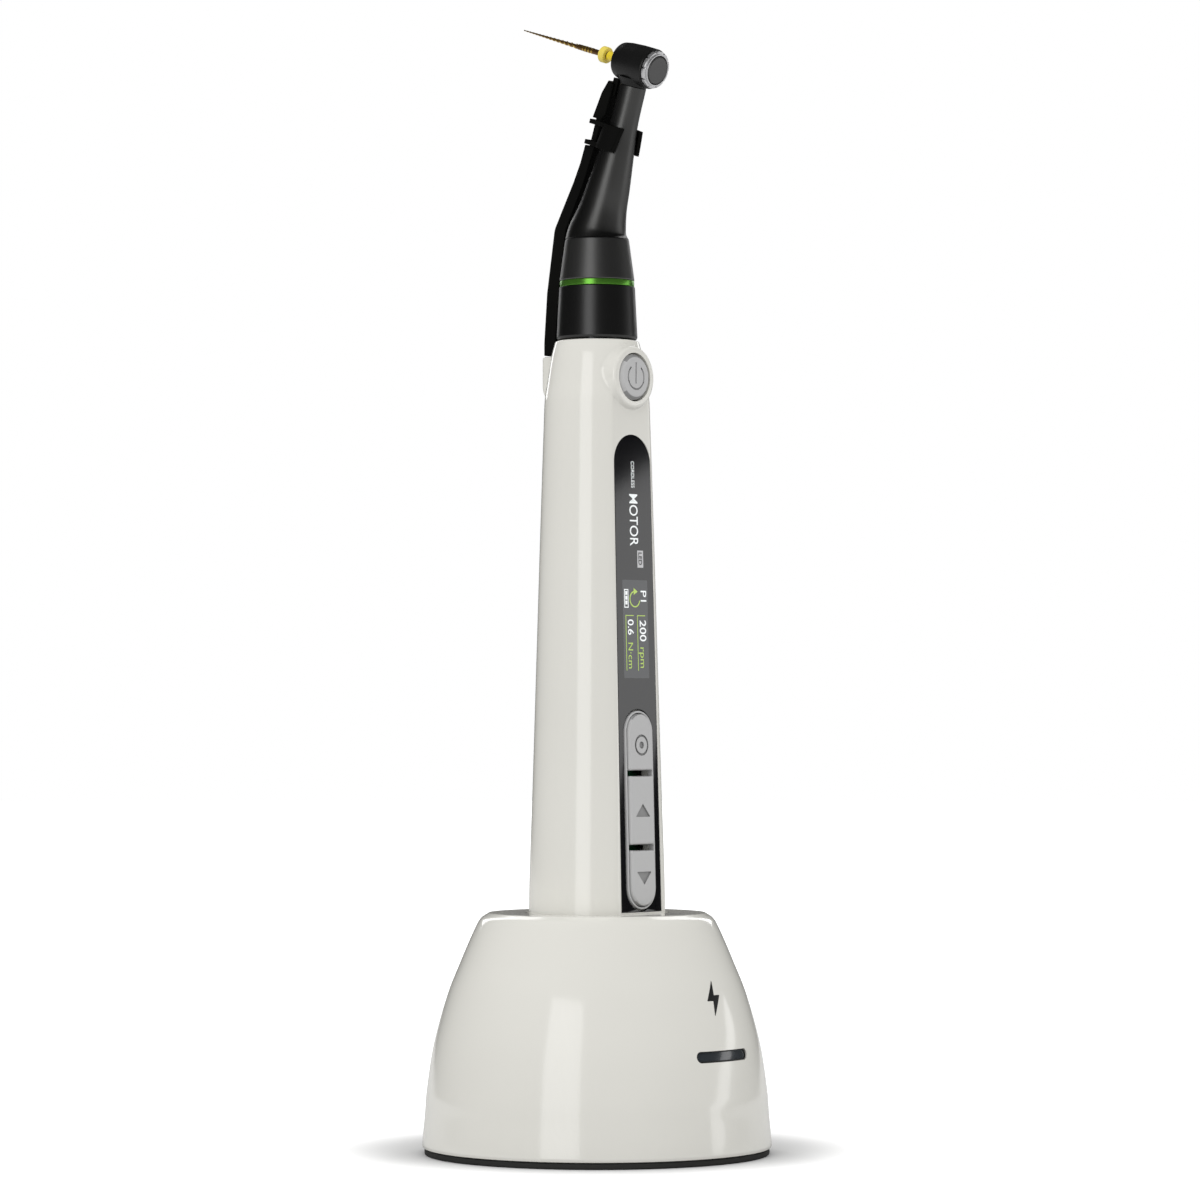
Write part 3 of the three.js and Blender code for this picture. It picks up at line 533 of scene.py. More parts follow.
def smooth_through(points):
    """A monotone cubic through (x, y) points, as a function of x."""
    xs, ys = [p[0] for p in points], [p[1] for p in points]
    slopes = [(ys[i + 1] - ys[i]) / (xs[i + 1] - xs[i]) for i in range(len(xs) - 1)]
    bends = [slopes[0]]
    for a, b in zip(slopes, slopes[1:]):
        bends.append(0 if a * b <= 0 else 2 * a * b / (a + b))
    bends.append(slopes[-1])

    def value(x):
        x = min(max(x, xs[0]), xs[-1])
        i = max(k for k in range(len(xs) - 1) if xs[k] <= x)
        width = xs[i + 1] - xs[i]
        t = (x - xs[i]) / width
        return ((2 * t ** 3 - 3 * t ** 2 + 1) * ys[i] + (t ** 3 - 2 * t ** 2 + t) * width * bends[i]
                + (3 * t ** 2 - 2 * t ** 3) * ys[i + 1] + (t ** 3 - t ** 2) * width * bends[i + 1])

    return value


def blend_low(a, b, soft):
    """The lower of two values, rounded off where they meet."""
    near = max(soft - abs(a - b), 0) / soft
    return min(a, b) - near * near * soft / 4


def blend_high(a, b, soft):
    return -blend_low(-a, -b, soft)


def steps_between(low, high, step):
    count = max(int(round((high - low) / step)), 1)
    return [low + (high - low) * i / count for i in range(count + 1)]


def path_through(points, per=6):
    """A smooth path through 2D points, with extra points between them."""
    ends = [points[0]] + list(points) + [points[-1]]
    result = []
    for a, b, c, d in zip(ends, ends[1:], ends[2:], ends[3:]):
        a, b, c, d = Vector(a), Vector(b), Vector(c), Vector(d)
        reach = (c - b).length
        start = (c - a) / max((c - a).length, 1e-9) * reach
        end = (d - b) / max((d - b).length, 1e-9) * reach
        for k in range(per):
            t = k / per
            result.append(tuple(b * (2 * t ** 3 - 3 * t ** 2 + 1) + start * (t ** 3 - 2 * t ** 2 + t)
                                + c * (3 * t ** 2 - 2 * t ** 3) + end * (t ** 3 - t ** 2)))
    result.append(tuple(points[-1]))
    return result


def flat_strip(half, tall, height):
    """A lying strip with round ends."""
    return arc((half - tall, height), tall, -90, 90) + arc((tall - half, height), tall, 90, 270)


def circle(centre, radius, steps=48):
    return arc(centre, radius, 0, 360 - 360 / steps, steps - 1)


# ---------- charging base ----------

DOME = [
    (34.84, 1.9), (34.75, 3.2), (34.3, 8.4), (34.0, 12.4), (32.8, 20.7), (31.3, 26.9), (29.4, 33),
    (27.35, 38), (26.1, 41), (24.3, 45.0), (23.2, 46.9), (21.6, 48),
]
HOLLOW = [(21, 46), (22.6, 44), (24.2, 40.3), (25.4, 37.2), (27.5, 32.2), (30.8, 20.4), (32, 12.4),
          (32.3, 8.4), (32.6, 1.5)]


def mouth(angle):
    """Distance of the D-shaped mouth's edge from the axis."""
    flat = 12.0 / max(-math.sin(angle), 1e-3)
    return blend_low(14.0, flat, 0.9)


def base_ring(radius, height, share=0.0, grow=0.0, count=240):
    """A ring of the base, from round at share 0 to the mouth's outline at share 1."""
    ring = []
    for i in range(count):
        angle = 2 * math.pi * i / count
        reach = radius * (1 - share) + (mouth(angle) + grow) * share
        ring.append((reach * math.cos(angle), reach * math.sin(angle), height))
    return ring


def make_base_shell():
    rings = [base_ring(32.6, 1.3), base_ring(34.3, 1.3), base_ring(34.7, 1.45)]
    rings += [base_ring(radius, height) for radius, height in path_through(DOME)]
    rings += [base_ring(21.6, 48, share) for share in (0.15, 0.5, 0.85)]
    rings += [base_ring(0, 48 - 0.5 * (1 - math.cos(math.radians(a))), 1,
                        0.5 * (1 - math.sin(math.radians(a)))) for a in range(0, 91, 15)]
    rings += [base_ring(0, 46, 1, 0), base_ring(20, 46)]
    rings += [base_ring(radius, height) for radius, height in HOLLOW]
    shell = loft("base_shell_skin", rings, closed=True)
    slot = plate("slot", [flat_strip(7.8, 1.1, SLOT_HEIGHT)], -40, -26, AXIS)
    inlet = plate("inlet", [flat_strip(4.8, 1.95, SOCKET_HEIGHT)], 28, 40, AXIS)
    carve(shell, slot, inlet)
    finish_piece(shell, "base", "shell_white", ["base_shell"], sharp=40)


def dome_layer(name, outside, inside, part=DOME[3:7]):
    """A layer of the dome's wall between two offsets from its surface."""
    outer = path_through(part)
    profile = [(r - outside, z) for r, z in outer] + [(r - inside, z) for r, z in reversed(outer)]
    return lathe(name, profile, closed=True, segments=240)


def make_indicator():
    lens = plate("indicator_window", [flat_strip(7.45, 0.8, SLOT_HEIGHT)], -36, -30, AXIS)
    combine(lens, [dome_layer("cut_layer", 0.45, 1.6)], "INTERSECT")
    finish_piece(lens, "base", "indicator_smoke", ["indicator_lens"])
    # a black ring filling the gap between the lens and the slot's wall: painted shade
    rim = [flat_strip(7.79, 1.09, SLOT_HEIGHT), flat_strip(7.47, 0.82, SLOT_HEIGHT)]
    edge = plate("indicator_gap_shade", rim, -36, -30, AXIS)
    combine(edge, [dome_layer("cut_layer", 0.3, 1.6)], "INTERSECT")
    finish_piece(edge, "base", "indicator_smoke", material=FINISHES["black_and_gap_shade"])


def make_emblem():
    """A plain lightning bolt, the usual sign for charging, low on the front of the dome."""
    bolt = [(0.9, 3.6), (-2.1, -0.5), (-0.3, -0.5), (-0.9, -3.6), (2.1, 0.6), (0.3, 0.6)]
    outline = softened([(x, EMBLEM_HEIGHT + z, 0.12) for x, z in bolt], True, 3)
    sign = plate("charge_sign", [outline], -36, -20, AXIS)
    combine(sign, [dome_layer("cut_layer", -0.02, 0.3, DOME[3:9])], "INTERSECT")
    finish_piece(sign, "base", "indicator_smoke", material=FINISHES["black_and_gap_shade"])


def make_under_base():
    foot = [(27.5, 0, 0.3), (34.4, 0, 0.4), (34.4, 1.2, 0.3), (27.5, 1.2, 0.2)]
    finish_piece(lathe("foot_ring_skin", softened(foot, True), closed=True, segments=160),
                 "base", "rubber_dark", ["foot_ring"])
    holes, places = [], []
    for i in range(4):
        angle = math.radians(45 + 90 * i)
        places.append((24 * math.cos(angle), 24 * math.sin(angle)))
        holes.append(circle(places[-1], 2.9))
    cover = sheet_of("base_plate_skin", [circle((0, 0), 27.4, 120)] + holes, 1.2, 0.15)
    finish_piece(move_mesh(cover, Matrix.Translation((0, 0, 1.9))), "base", "rubber_dark",
                 ["base_plate"])
    disc = sheet_of("base_plate_rim", [circle((0, 0), 32, 120)], 1.2, 0.1)
    finish_piece(move_mesh(disc, Matrix.Translation((0, 0, 3.0))), "base", "rubber_dark")
    for i, (x, y) in enumerate(places):
        head = [(0, 1.45), (0.9, 1.4), (2.2, 1.45), (2.6, 1.8), (2.6, 2.3), (1.2, 2.3), (1.2, 11.5),
                (0, 12.3)]
        screw = lathe(f"base_screw_{i + 1}_skin", softened(head), Matrix.Translation((x, y, 0)),
                      segments=32)
        cross = [block("cross", (x - a, y - b, 1), (x + a, y + b, 2.0))
                 for a, b in ((1.4, 0.28), (0.28, 1.4))]
        carve(screw, *cross)
        finish_piece(screw, "base", "steel", [f"base_screw_{i + 1}"])


def make_socket():
    centre = SOCKET_HEIGHT
    outer, inner = flat_strip(4.5, 1.65, centre), flat_strip(4.05, 1.2, centre)
    finish_piece(plate("power_socket_tube", [outer, inner], 27.5, 33.9, AXIS, 0.1), "base", "steel",
                 ["power_socket"])
    finish_piece(plate("power_socket_back", [flat_strip(4.4, 1.55, centre)], 26, 27.6, AXIS, 0.1),
                 "base", "steel")
    tongue = block("power_socket_tongue", (-3.2, 27.4, centre - 0.35), (3.2, 33.2, centre + 0.35),
                   bevel=0.12)
    finish_piece(tongue, "base", "steel", material=FINISHES["black_and_gap_shade"])


def make_well():
    cup = [(0, 10), (15.3, 10, 0.8), (15.3, 45.6, 0.4), (14.1, 45.6, 0.4), (14.1, 11.6, 0.8),
           (0, 11.6)]
    finish_piece(lathe("charger_well_skin", softened(cup), segments=128), "base", "inner_white",
                 ["charger_well"])


make_base_shell()
make_indicator()
make_under_base()
make_socket()
make_well()
make_emblem()

# ---------- handle ----------

handle_radius = smooth_through([(12, 13.6), (47.9, 13.6), (48, 13.6), (74, 12.84), (100, 12.07),
                                (126, 11.3), (144.4, 10.7), (150, 10.5), (154, 9.95), (159.3, 9.1),
                                (HANDLE_TOP, 8.36)])
FRONT_STEPS = 220
BACK_STEPS = 90


def flat_depth(height):
    above = max(height, LIP) - FLAT_HEIGHT
    return -FLAT_DEPTH + above * math.tan(TILT)


def boss_front(x, height):
    """Front surface of the round boss around the power button."""
    reach = math.hypot(x, height - POWER_HEIGHT)
    past = reach - BOSS_FLAT
    if past < 0:
        return -POWER_FACE
    if past < BOSS_EDGE:
        lean = math.asin(min(past / BOSS_EDGE, 1))
        return -POWER_FACE + BOSS_EDGE * (1 - math.cos(lean))
    return -POWER_FACE + BOSS_EDGE + (past - BOSS_EDGE) * BOSS_SLOPE


def handle_ring(height, shrink=0.0, flat_shrink=0.0, with_boss=True, soft=0.35):
    """The handle's section: a circle cut by the flat, with the boss standing out of it."""
    radius = handle_radius(height) - shrink
    flat = flat_depth(height) + flat_shrink
    ring = []
    for i in range(FRONT_STEPS):
        turn = -math.pi / 2 + math.pi * i / FRONT_STEPS
        x, y = radius * math.sin(turn), -radius * math.cos(turn)
        y = blend_high(y, flat, soft)
        if with_boss and abs(height - POWER_HEIGHT) < 8.4 and abs(x) < 8.2:
            y = blend_low(y, boss_front(x, height), 1.1)
        ring.append((x, y, height))
    for i in range(BACK_STEPS):
        turn = math.pi / 2 + math.pi * i / BACK_STEPS
        ring.append((radius * math.sin(turn), -radius * math.cos(turn), height))
    return ring


def glass_outline(grow=0.0):
    low = face_height(GLASS["low"]) - grow
    arch = face_height(GLASS["high"]) - GLASS["half_high"]
    half = GLASS["half_low"] + grow
    return [(-half, low), (half, low)] + arc((0, arch), GLASS["half_high"] + grow, 0, 180, 40)


def key_strip(grow):
    return obround(face_height(KEYS["low"]) - grow, face_height(KEYS["high"]) + grow,
                   KEYS["half"] + grow, 28)


def lug_ring(height, reach, shrink=0.0):
    """Section of the lug behind the handle, which holds the foot of the light guide."""
    half, out = 2.6 - shrink, reach - shrink
    corners = [(-half, 7), (half, 7), (half, out, 1.3), (-half, out, 1.3)]
    return [(x, y, height) for x, y in softened(corners, True, 8)]


def make_lug():
    reach = smooth_through([(149.6, 10.0), (150.2, 10.9), (151.2, 11.9), (152.6, 12.55),
                            (153.6, 12.7), (159.5, 12.7)])
    rings = [lug_ring(h, reach(h)) for h in steps_between(149.6, 154, 0.35) + [156, 159.1]]
    return loft("lug", rings + [lug_ring(159.4, 12.7, 0.1), lug_ring(159.5, 12.7, 0.3)])


def make_body_shell():
    heights = [13.2, 13.3, 14] + steps_between(18, 46, 7) + steps_between(48, 140, 4)
    heights += steps_between(141, 146.6, 0.8) + steps_between(146.85, 161.8, 0.23) + [161.95]
    rings = [handle_ring(13.2, 0.12)] + [handle_ring(h) for h in heights[1:]]
    rings += [handle_ring(162.1, 0.12, soft=0.3), handle_ring(162.2, 0.4, soft=0.3)]
    shell = loft("body_shell_skin", rings)
    combine(shell, [make_lug()], "UNION")
    heights = [14] + steps_between(30, 156, 14)
    room = loft("cavity", [handle_ring(h, 1.6, 2.6, False) for h in heights]
                + [handle_ring(160.2, 2.6, 2.6, False)])
    open_end = lathe("open_end", [(0, 12), (10.2, 12), (10.2, 16), (0, 16)])
    pocket = plate("glass_pocket", [glass_outline(0.07)], -3, 1.3)
    half, low, high = (SCREEN_WINDOW[k] for k in ("half", "low", "high"))
    windows = [block("screen_window", (-half, 0, face_height(low)), (half, 4, face_height(high)), FACE),
               plate("key_window", [key_strip(0.3)], 0, 4)]
    button = lathe("button_hole", softened([(0, -12), (4.85, -12), (4.85, -5), (0, -5)]),
                   Matrix.Translation((0, 0, POWER_HEIGHT)) @ ALONG_FILE)
    nose = lathe("nose_hole", [(0, 158), (5.4, 158), (5.4, 164), (0, 164)])
    lamp = block("lamp_pocket", (-1.3, 9.4, 152.4), (1.3, 11.3, 160), bevel=0.2)
    carve(shell, room, open_end, pocket, *windows, button, nose, lamp)
    finish_piece(shell, "handpiece", "shell_white", ["body_shell"], sharp=34)


def make_tail_cap():
    rings = [handle_ring(12, 1.2, 0.9), handle_ring(12.05, 0.8, 0.6), handle_ring(12.25, 0.4, 0.3),
             handle_ring(12.6, 0.15, 0.12), handle_ring(13.1, 0.1, 0.1), handle_ring(13.2, 0.25, 0.2)]
    finish_piece(loft("tail_cap_skin", rings), "handpiece", "shell_white", ["tail_cap"])
    spigot = softened([(0, 13.1), (8.4, 13.1), (8.4, 17, 0.4), (0, 17)])
    finish_piece(lathe("tail_cap_spigot", spigot), "handpiece", "shell_white")


def make_glass():
    glass = plate("display_glass_skin", [glass_outline(), key_strip(0.9)], 0, GLASS["thick"],
                  bevel=0.12)
    finish_piece(glass, "handpiece", "display_black", ["display_glass"])
    frame_ring = plate("key_bezel_skin", [key_strip(0.6), key_strip(0.2)], -0.3, 1.0, bevel=0.12)
    finish_piece(frame_ring, "handpiece", "key_grey", ["key_bezel"])


make_body_shell()
make_tail_cap()
make_glass()

# ---------- screen and its read-out ----------

# Lettering on the flat: it reads down the handle, with the tops of the letters towards +X.
READING = Matrix(((0, 1, 0, 0), (0, 0, -1, 0), (-1, 0, 0, 0), (0, 0, 0, 1)))


def screen_mark(obj, material):
    """Finishes a thin mark, drawn about its own origin and already laid on the front of the glass, with the
    material given.
    """
    return finish_piece(obj, "handpiece", "screen_dark", material=FINISHES[material])


def reading_place(x, height):
    return FACE @ Matrix.Translation((x, -0.015, face_height(height))) @ READING


def write_line(name, text, x, height, size, material="digit_white", wide=1.0, bold=0.0):
    """A line of generic lettering that starts at a height and reads downwards."""
    curve = bpy.data.curves.new(name, "FONT")
    curve.body = text
    curve.size = size * MM
    curve.extrude = 0.02 * MM
    curve.offset = bold * MM
    source = bpy.data.objects.new(name, curve)
    bpy.context.scene.collection.objects.link(source)
    graph = bpy.context.evaluated_depsgraph_get()
    mesh = bpy.data.meshes.new_from_object(source.evaluated_get(graph))
    bpy.data.objects.remove(source)
    obj = bpy.data.objects.new(name, mesh)
    bpy.context.scene.collection.objects.link(obj)
    mesh.transform(Matrix.Diagonal((wide, 1, 1, 1)))
    move_mesh(obj, reading_place(x, height))
    return screen_mark(obj, material)


def draw_sign(name, outlines, x, height, material):
    """A flat sign drawn along the reading direction."""
    obj = sheet_of(name, outlines, 0.04)
    move_mesh(obj, reading_place(x, height))
    return screen_mark(obj, material)


def make_screen():
    low, high, half = face_height(SCREEN["low"]), face_height(SCREEN["high"]), SCREEN["half"]
    corners = ((-half, low), (half, low), (half, high), (-half, high))
    outline = softened([(x, z, 0.3) for x, z in corners], True)
    panel = plate("screen_panel", [outline], -0.012, 0.1)
    finish_piece(panel, "handpiece", "screen_dark")
    write_line("programme", "P1", 1.75, 112.3, 2.5, wide=1.15, bold=0.01)
    write_line("speed_digits", "200", 1.3, 106.3, 2.75, wide=1.05, bold=0.02)
    write_line("speed_unit", "rpm", 1.3, 101.0, 2.2, "digit_green", wide=1.2)
    write_line("torque_digits", "0.6", -2.4, 106.4, 2.5, wide=1.05, bold=0.02)
    write_line("torque_unit", "N·cm", -2.4, 101.9, 2.1, "digit_green", wide=1.15)
    for name, x in (("speed", 0.5), ("torque", -3.1)):
        line = [(0, 0), (11, 0), (11, 0.16), (0.16, 0.16), (0.16, 2.5), (0, 2.5)]
        draw_sign(f"{name}_bracket", [line], x, 107.2, "digit_green")
    turn = arc((0, 0), 1.65, 190, 440, 30) + arc((0, 0), 1.4, 440, 190, 30)
    draw_sign("turn_arc", [turn], -0.1, 110.4, "digit_green")
    head = [(-2.2, -0.3), (-0.85, -0.3), (-1.5, 0.9)]
    draw_sign("turn_head", [head], -0.1, 110.4, "digit_green")
    cell = [[(-1.85, -0.65), (1.85, -0.65), (1.85, 0.65), (-1.85, 0.65)],
            [(-1.65, -0.45), (1.65, -0.45), (1.65, 0.45), (-1.65, 0.45)]]
    draw_sign("charge_frame", cell, -2.75, 110.5, "digit_white")
    for i in range(3):
        low = -1.45 + 0.95 * i
        bar = [(low, -0.3), (low + 0.75, -0.3), (low + 0.75, 0.3), (low, 0.3)]
        draw_sign(f"charge_bar_{i + 1}", [bar], -2.75, 110.5, "digit_white")


def make_lettering():
    """Generic words above the screen, with the lamp tag; their faint glow is painted light on the print."""
    write_line("word_small", "CORDLESS", -0.45, 137.9, 1.4, wide=0.8)
    write_line("word_large", "MOTOR", -1.15, 131.5, 3.6, wide=0.80, bold=0.01)
    tag = [[(0, 0), (3.4, 0), (3.4, 1.8), (0, 1.8)]]
    draw_sign("lamp_tag", tag, 0.95, 120.1, "tag_grey")
    word = write_line("lamp_word", "LED", 1.3, 119.8, 1.5, "black_and_gap_shade", bold=0.02)
    word.data.transform(Matrix.Translation(-0.03 * MM * KEY_PUSH))


make_lettering()
make_screen()

# ---------- keys and power button ----------


def key_outline(low, high):
    """The part of the key strip between two heights, with softened corners."""
    low, high = face_height(low), face_height(high)
    half = KEYS["half"]
    top, bottom = face_height(KEYS["high"]), face_height(KEYS["low"])
    points = []
    if high > top - 0.1:
        points += arc((0, top - half), half, 0, 180, 28)
    else:
        points += [(half, high, 0.55), (-half, high, 0.55)]
    if low < bottom + 0.1:
        points += arc((0, bottom + half), half, 180, 360, 28)
    else:
        points += [(-half, low, 0.55), (half, low, 0.55)]
    return softened(points, True, 5)


def engrave(obj, outlines, depth, front, place):
    """Sinks a drawn mark into a face that stands at local Y = front."""
    marks = [plate("mark", [outline], front - 1, front + depth, place) for outline in outlines]
    return carve(obj, *marks)


def paint_shade_in_marks(obj, place, front, reach):
    """Paints the sunk marks within reach of the middle darker, as painted shade in the recesses."""
    obj.data.materials.clear()
    obj.data.materials.append(FINISHES["key_grey"])
    obj.data.materials.append(FINISHES["key_mark_shade"])
    back = place.copy()
    back.translation = place.translation * MM
    back.invert()
    for face in obj.data.polygons:
        where = back @ face.center / MM
        sunk = front + 0.12 < where.y < front + 0.5
        face.material_index = 1 if sunk and abs(where.x) < reach else 0


def make_keys():
    for name, low, high in KEY_ROWS:
        key = plate(f"{name}_key_skin", [key_outline(low, high)], -KEYS["proud"], KEYS["back"],
                    bevel=0.5, steps=5)
        middle = face_height((low + high) / 2)
        if name == "set":
            middle = face_height(SET_MARK_HEIGHT)
            ring_mark = [circle((0, middle), 2.1, 48), circle((0, middle), 1.65, 48)]
            carve(key, plate("mark", ring_mark, -1.9, -0.6))
            engrave(key, [circle((0, middle), 0.7, 28)], MARK_DEPTH, -KEYS["proud"], FACE)
        else:
            tip = 1.3 if name == "up" else -1.3
            mark = [(0, middle + tip, 0.12), (-2.25, middle - tip, 0.12), (2.25, middle - tip, 0.12)]
            engrave(key, [softened(mark, True, 3)], MARK_DEPTH, -KEYS["proud"], FACE)
        # the sunk mark on the key gets painted shade
        paint_shade_in_marks(key, FACE, -KEYS["proud"], 2.6)
        finish_piece(key, f"{name}_key", "key_grey", [f"{name}_key"], sharp=40)


def make_power_button():
    top = POWER_FACE + 0.4
    profile = softened([(0, 8.4), (BUTTON_RADIUS, 8.4, 0.2), (BUTTON_RADIUS, top - 0.75, 0.35),
                        (3.85, top, 0.4), (0, top - 0.05)])
    place = Matrix.Translation((0, 0, POWER_HEIGHT)) @ FACING_FRONT
    button = lathe("power_button_skin", profile, place)
    open_angle = 38
    ring_mark = (arc((0, 0), 2.6, 90 + open_angle, 450 - open_angle, 40)
                 + arc((0, 0), 2.25, 450 - open_angle, 90 + open_angle, 40))
    bar = [(-0.18, -1.3), (0.18, -1.3), (0.18, 2.9), (-0.18, 2.9)]
    upright = Matrix.Translation((0, 0, POWER_HEIGHT))
    for mark in (ring_mark, bar):
        carve(button, plate("mark", [mark], -12, 0.28 - top, upright))
    # the sunk power symbol gets painted shade
    paint_shade_in_marks(button, upright, -top, 3.0)
    finish_piece(button, "power_button", "key_grey", ["power_button"], sharp=40)


make_keys()
make_power_button()

# ---------- contra-angle ----------


def revolve(name, body, slot, profile, nodes=(), place=AXIS, closed=True, segments=128, **extra):
    """A turned piece with its corners softened, finished in one go."""
    obj = lathe(name, softened(profile, closed), place, closed, segments)
    return finish_piece(obj, body, slot, nodes, **extra)


def bent(radius, along, angle):
    """A point on the neck's skin, at a distance along the neck's centre line."""
    turn = min(along / BEND_RADIUS, BEND)
    past = along - turn * BEND_RADIUS
    x, side = radius * math.cos(angle), radius * math.sin(angle)
    y = -BEND_RADIUS * (1 - math.cos(turn)) - past * math.sin(turn) + side * math.cos(turn)
    z = BEND_RADIUS * math.sin(turn) + past * math.cos(turn) + side * math.sin(turn)
    return (x, y, NECK_START + z)


def make_neck():
    skin = path_through([(6.35, 0.12), (5.85, 1.9), (5.3, 4), (4.7, 7.2), (4.3, 11.3), (3.65, 16.8),
                         (2.85, 23.8), (2.7, 31.5)], 5)
    inside = [(r - 0.95, s) for r, s in reversed(skin[::3])]
    profile = [(5.5, 0.02), (6.22, 0)] + skin + [(2.62, 31.6), (1.8, 31.6)] + inside
    rings = [[bent(r, s, 2 * math.pi * i / 96) for i in range(96)] for r, s in profile]
    finish_piece(loft("neck_sheath_skin", rings, closed=True), "contra_angle", "sheath_black",
                 ["neck_sheath"])


def make_contra_body():
    revolve("rear_sleeve_skin", "contra_angle", "sleeve_black",
            [(5.95, 162.5, 0.2), (7.95, 162.5, 0.3), (8.1, 163, 0.3), (7.6, 173, 0.15),
             (5.95, 173, 0.1)], ["rear_sleeve"])
    revolve("colour_ring_skin", "contra_angle", "ring_green",
            [(5.6, 173.05, 0.05), (7.45, 173.05, 0.12), (7.45, 174.25, 0.12), (5.6, 174.25, 0.05)],
            ["colour_ring"])
    # the cone takes a lighter copy of the sheath's black: painted light
    revolve("sheath_cone_skin", "contra_angle", "sheath_black",
            [(4.9, 174.3), (7.4, 174.3, 0.1), (7.5, 174.45, 0.05), (6.43, 182.35, 0.1),
             (6.36, 182.55, 0.03), (4.6, 182.55)], ["sheath_cone"],
            material=FINISHES["cone_black_painted_light"])
    make_neck()


def make_head():
    along = HEAD @ ALONG_FILE
    corners = [(3.4, -4.1, 0.05), (3.95, -4.1, 0.1), (4.05, -3.9, 0.1), (4.04, -0.5, 2),
               (3.86, 2.6, 2), (3.6, 4.2, 0.9), (2.7, 4.9, 0.5), (1.95, 5.0, 0.1), (1.95, 3.9),
               (3.4, 3.9)]
    barrel = lathe("head_housing_skin", softened(corners, True), along, True, 128)
    stub = lathe("stub", [(0, -4.3), (2.7, -4.3), (2.78, -4.0), (2.95, -3.6), (3.2, -3.2), (3.3, -2.9),
                          (0, -2.9)], HEAD, segments=96)
    combine(barrel, [stub], "UNION")
    throat = lathe("throat", [(0, -4.6), (2.35, -4.6), (2.35, -1), (0, -1)], HEAD)
    room = lathe("room", [(0, -3.95), (3.38, -3.95), (3.38, 3.85), (0, 3.85)], along)
    carve(barrel, throat, room)
    # the head takes a far darker copy of the sheath's black: painted shade
    finish_piece(barrel, "contra_angle", "sheath_black", ["head_housing"],
                 material=FINISHES["head_black_painted_shade"], sharp=40)

    def notched(radius, height, angle):
        if radius < 3.5:
            return radius
        dip = (math.cos(10 * angle) - 0.86) / 0.14
        return radius - 0.3 * max(min(dip * 2, 1), 0)

    ring_path = softened([(3.05, -4.95, 0.05), (3.68, -4.95, 0.12), (3.75, -4.75, 0.1),
                          (3.75, -4.2, 0.05), (3.05, -4.2, 0.05)], True)
    finish_piece(lathe("head_ring_skin", ring_path, along, True, 320, notched), "contra_angle",
                 "bright_steel", ["head_ring"], material=FINISHES["ring_steel"])
    revolve("head_ring_step", "contra_angle", "bright_steel",
            [(2.95, -5.25, 0.06), (3.22, -5.25, 0.08), (3.22, -4.9, 0.03), (2.95, -4.9, 0.03)],
            place=along, material=FINISHES["ring_steel"])
    revolve("push_cap_skin", "push_cap", "cap_grey",
            [(0, -5.4), (1.6, -5.43), (2.6, -5.4, 0.2), (2.75, -5.2, 0.1), (2.75, -4.5, 0.05),
             (0, -4.5)], ["push_cap"], along, False)
    revolve("spindle_skin", "spindle", "steel",
            [(0, -3.2), (1.6, -3.2, 0.1), (1.6, 4.8, 0.15), (1.25, 4.8, 0.08), (1.25, -1.6),
             (0, -1.6)], place=along, closed=False)


def yz_slab(name, outline, half, bevel, place=AXIS):
    """A plate drawn in Y and Z, as wide as half on each side of X = 0."""
    obj = sheet_of(name, [outline], 2 * half, bevel, 3)
    turn = Matrix(((0, 0, 1, 0), (1, 0, 0, 0), (0, 1, 0, 0), (0, 0, 0, 1)))
    return move_mesh(obj, place @ turn)


def neck_point(out, along):
    point = NECK @ Vector((0, out, along))
    return (point.y, point.z)


def make_light_guide():
    lower = [(9.5, 159.8, 0.2), (12.35, 159.8, 0.2), (12.35, 162.4, 2), (11.6, 172.4),
             (9.6, 185.2, 4), (4.6, 194.4, 2)]
    inner = [(6.7, 184.8, 3), (8.45, 172.3), (9.4, 162.4)]
    tip = [neck_point(a, b) + (r,) for a, b, r in (
        (7.1, 12.8, 1), (7.0, 16.5, 0.1), (5.8, 16.5, 0.1), (5.8, 22.2, 0.1), (6.8, 22.2, 0.15),
        (6.0, 27.5, 2), (5.0, 30.2, 0.12), (3.5, 29.7, 0.1), (3.6, 27.1, 0.2), (3.75, 23.4, 0.3),
        (4.4, 22.3, 0.3), (4.5, 16.2, 2), (5.1, 8.7, 2))]
    arm = yz_slab("light_guide_arm_skin", softened(lower + tip + inner, True), 2.0, 0.25)
    room = [neck_point(a, b) for a, b in ((3, 31), (3, 27.5), (4.3, 27.5), (4.3, 31))]
    carve(arm, yz_slab("lens_room", room, 1.3, 0.0))
    finish_piece(arm, "contra_angle", "arm_black", ["light_guide_arm"], sharp=40)
    plug = block("light_guide_plug", (-1, 9.75, 154.9), (1, 10.95, 159.6), bevel=0.15)
    finish_piece(plug, "contra_angle", "lens_clear")
    lens = [neck_point(a, b) + (0.12,) for a, b in ((3.45, 29.4), (3.45, 27.6), (4.2, 27.6),
                                                    (4.2, 29.9))]
    finish_piece(yz_slab("light_tip_skin", softened(lens, True), 1.2, 0.1), "contra_angle",
                 "lens_clear", ["light_tip"])


def jaw_ring(height, sign):
    """One jaw's section at a height along the neck, with a small lip at its free end."""
    share = (height - 16.8) / 5.1
    inner, outer = 3.96 - 0.65 * share, 4.5 - 0.6 * share
    spread = 80 + 14 * share
    ring = []
    for i in range(25):
        angle = math.radians(90 - sign * (42 + spread * i / 24))
        lip = 0.22 if i > 21 else 0
        ring.append(((outer + lip) * math.cos(angle), (outer + lip) * math.sin(angle), height))
    for i in range(24, -1, -1):
        angle = math.radians(90 - sign * (42 + spread * i / 24))
        ring.append((inner * math.cos(angle), inner * math.sin(angle), height))
    return ring


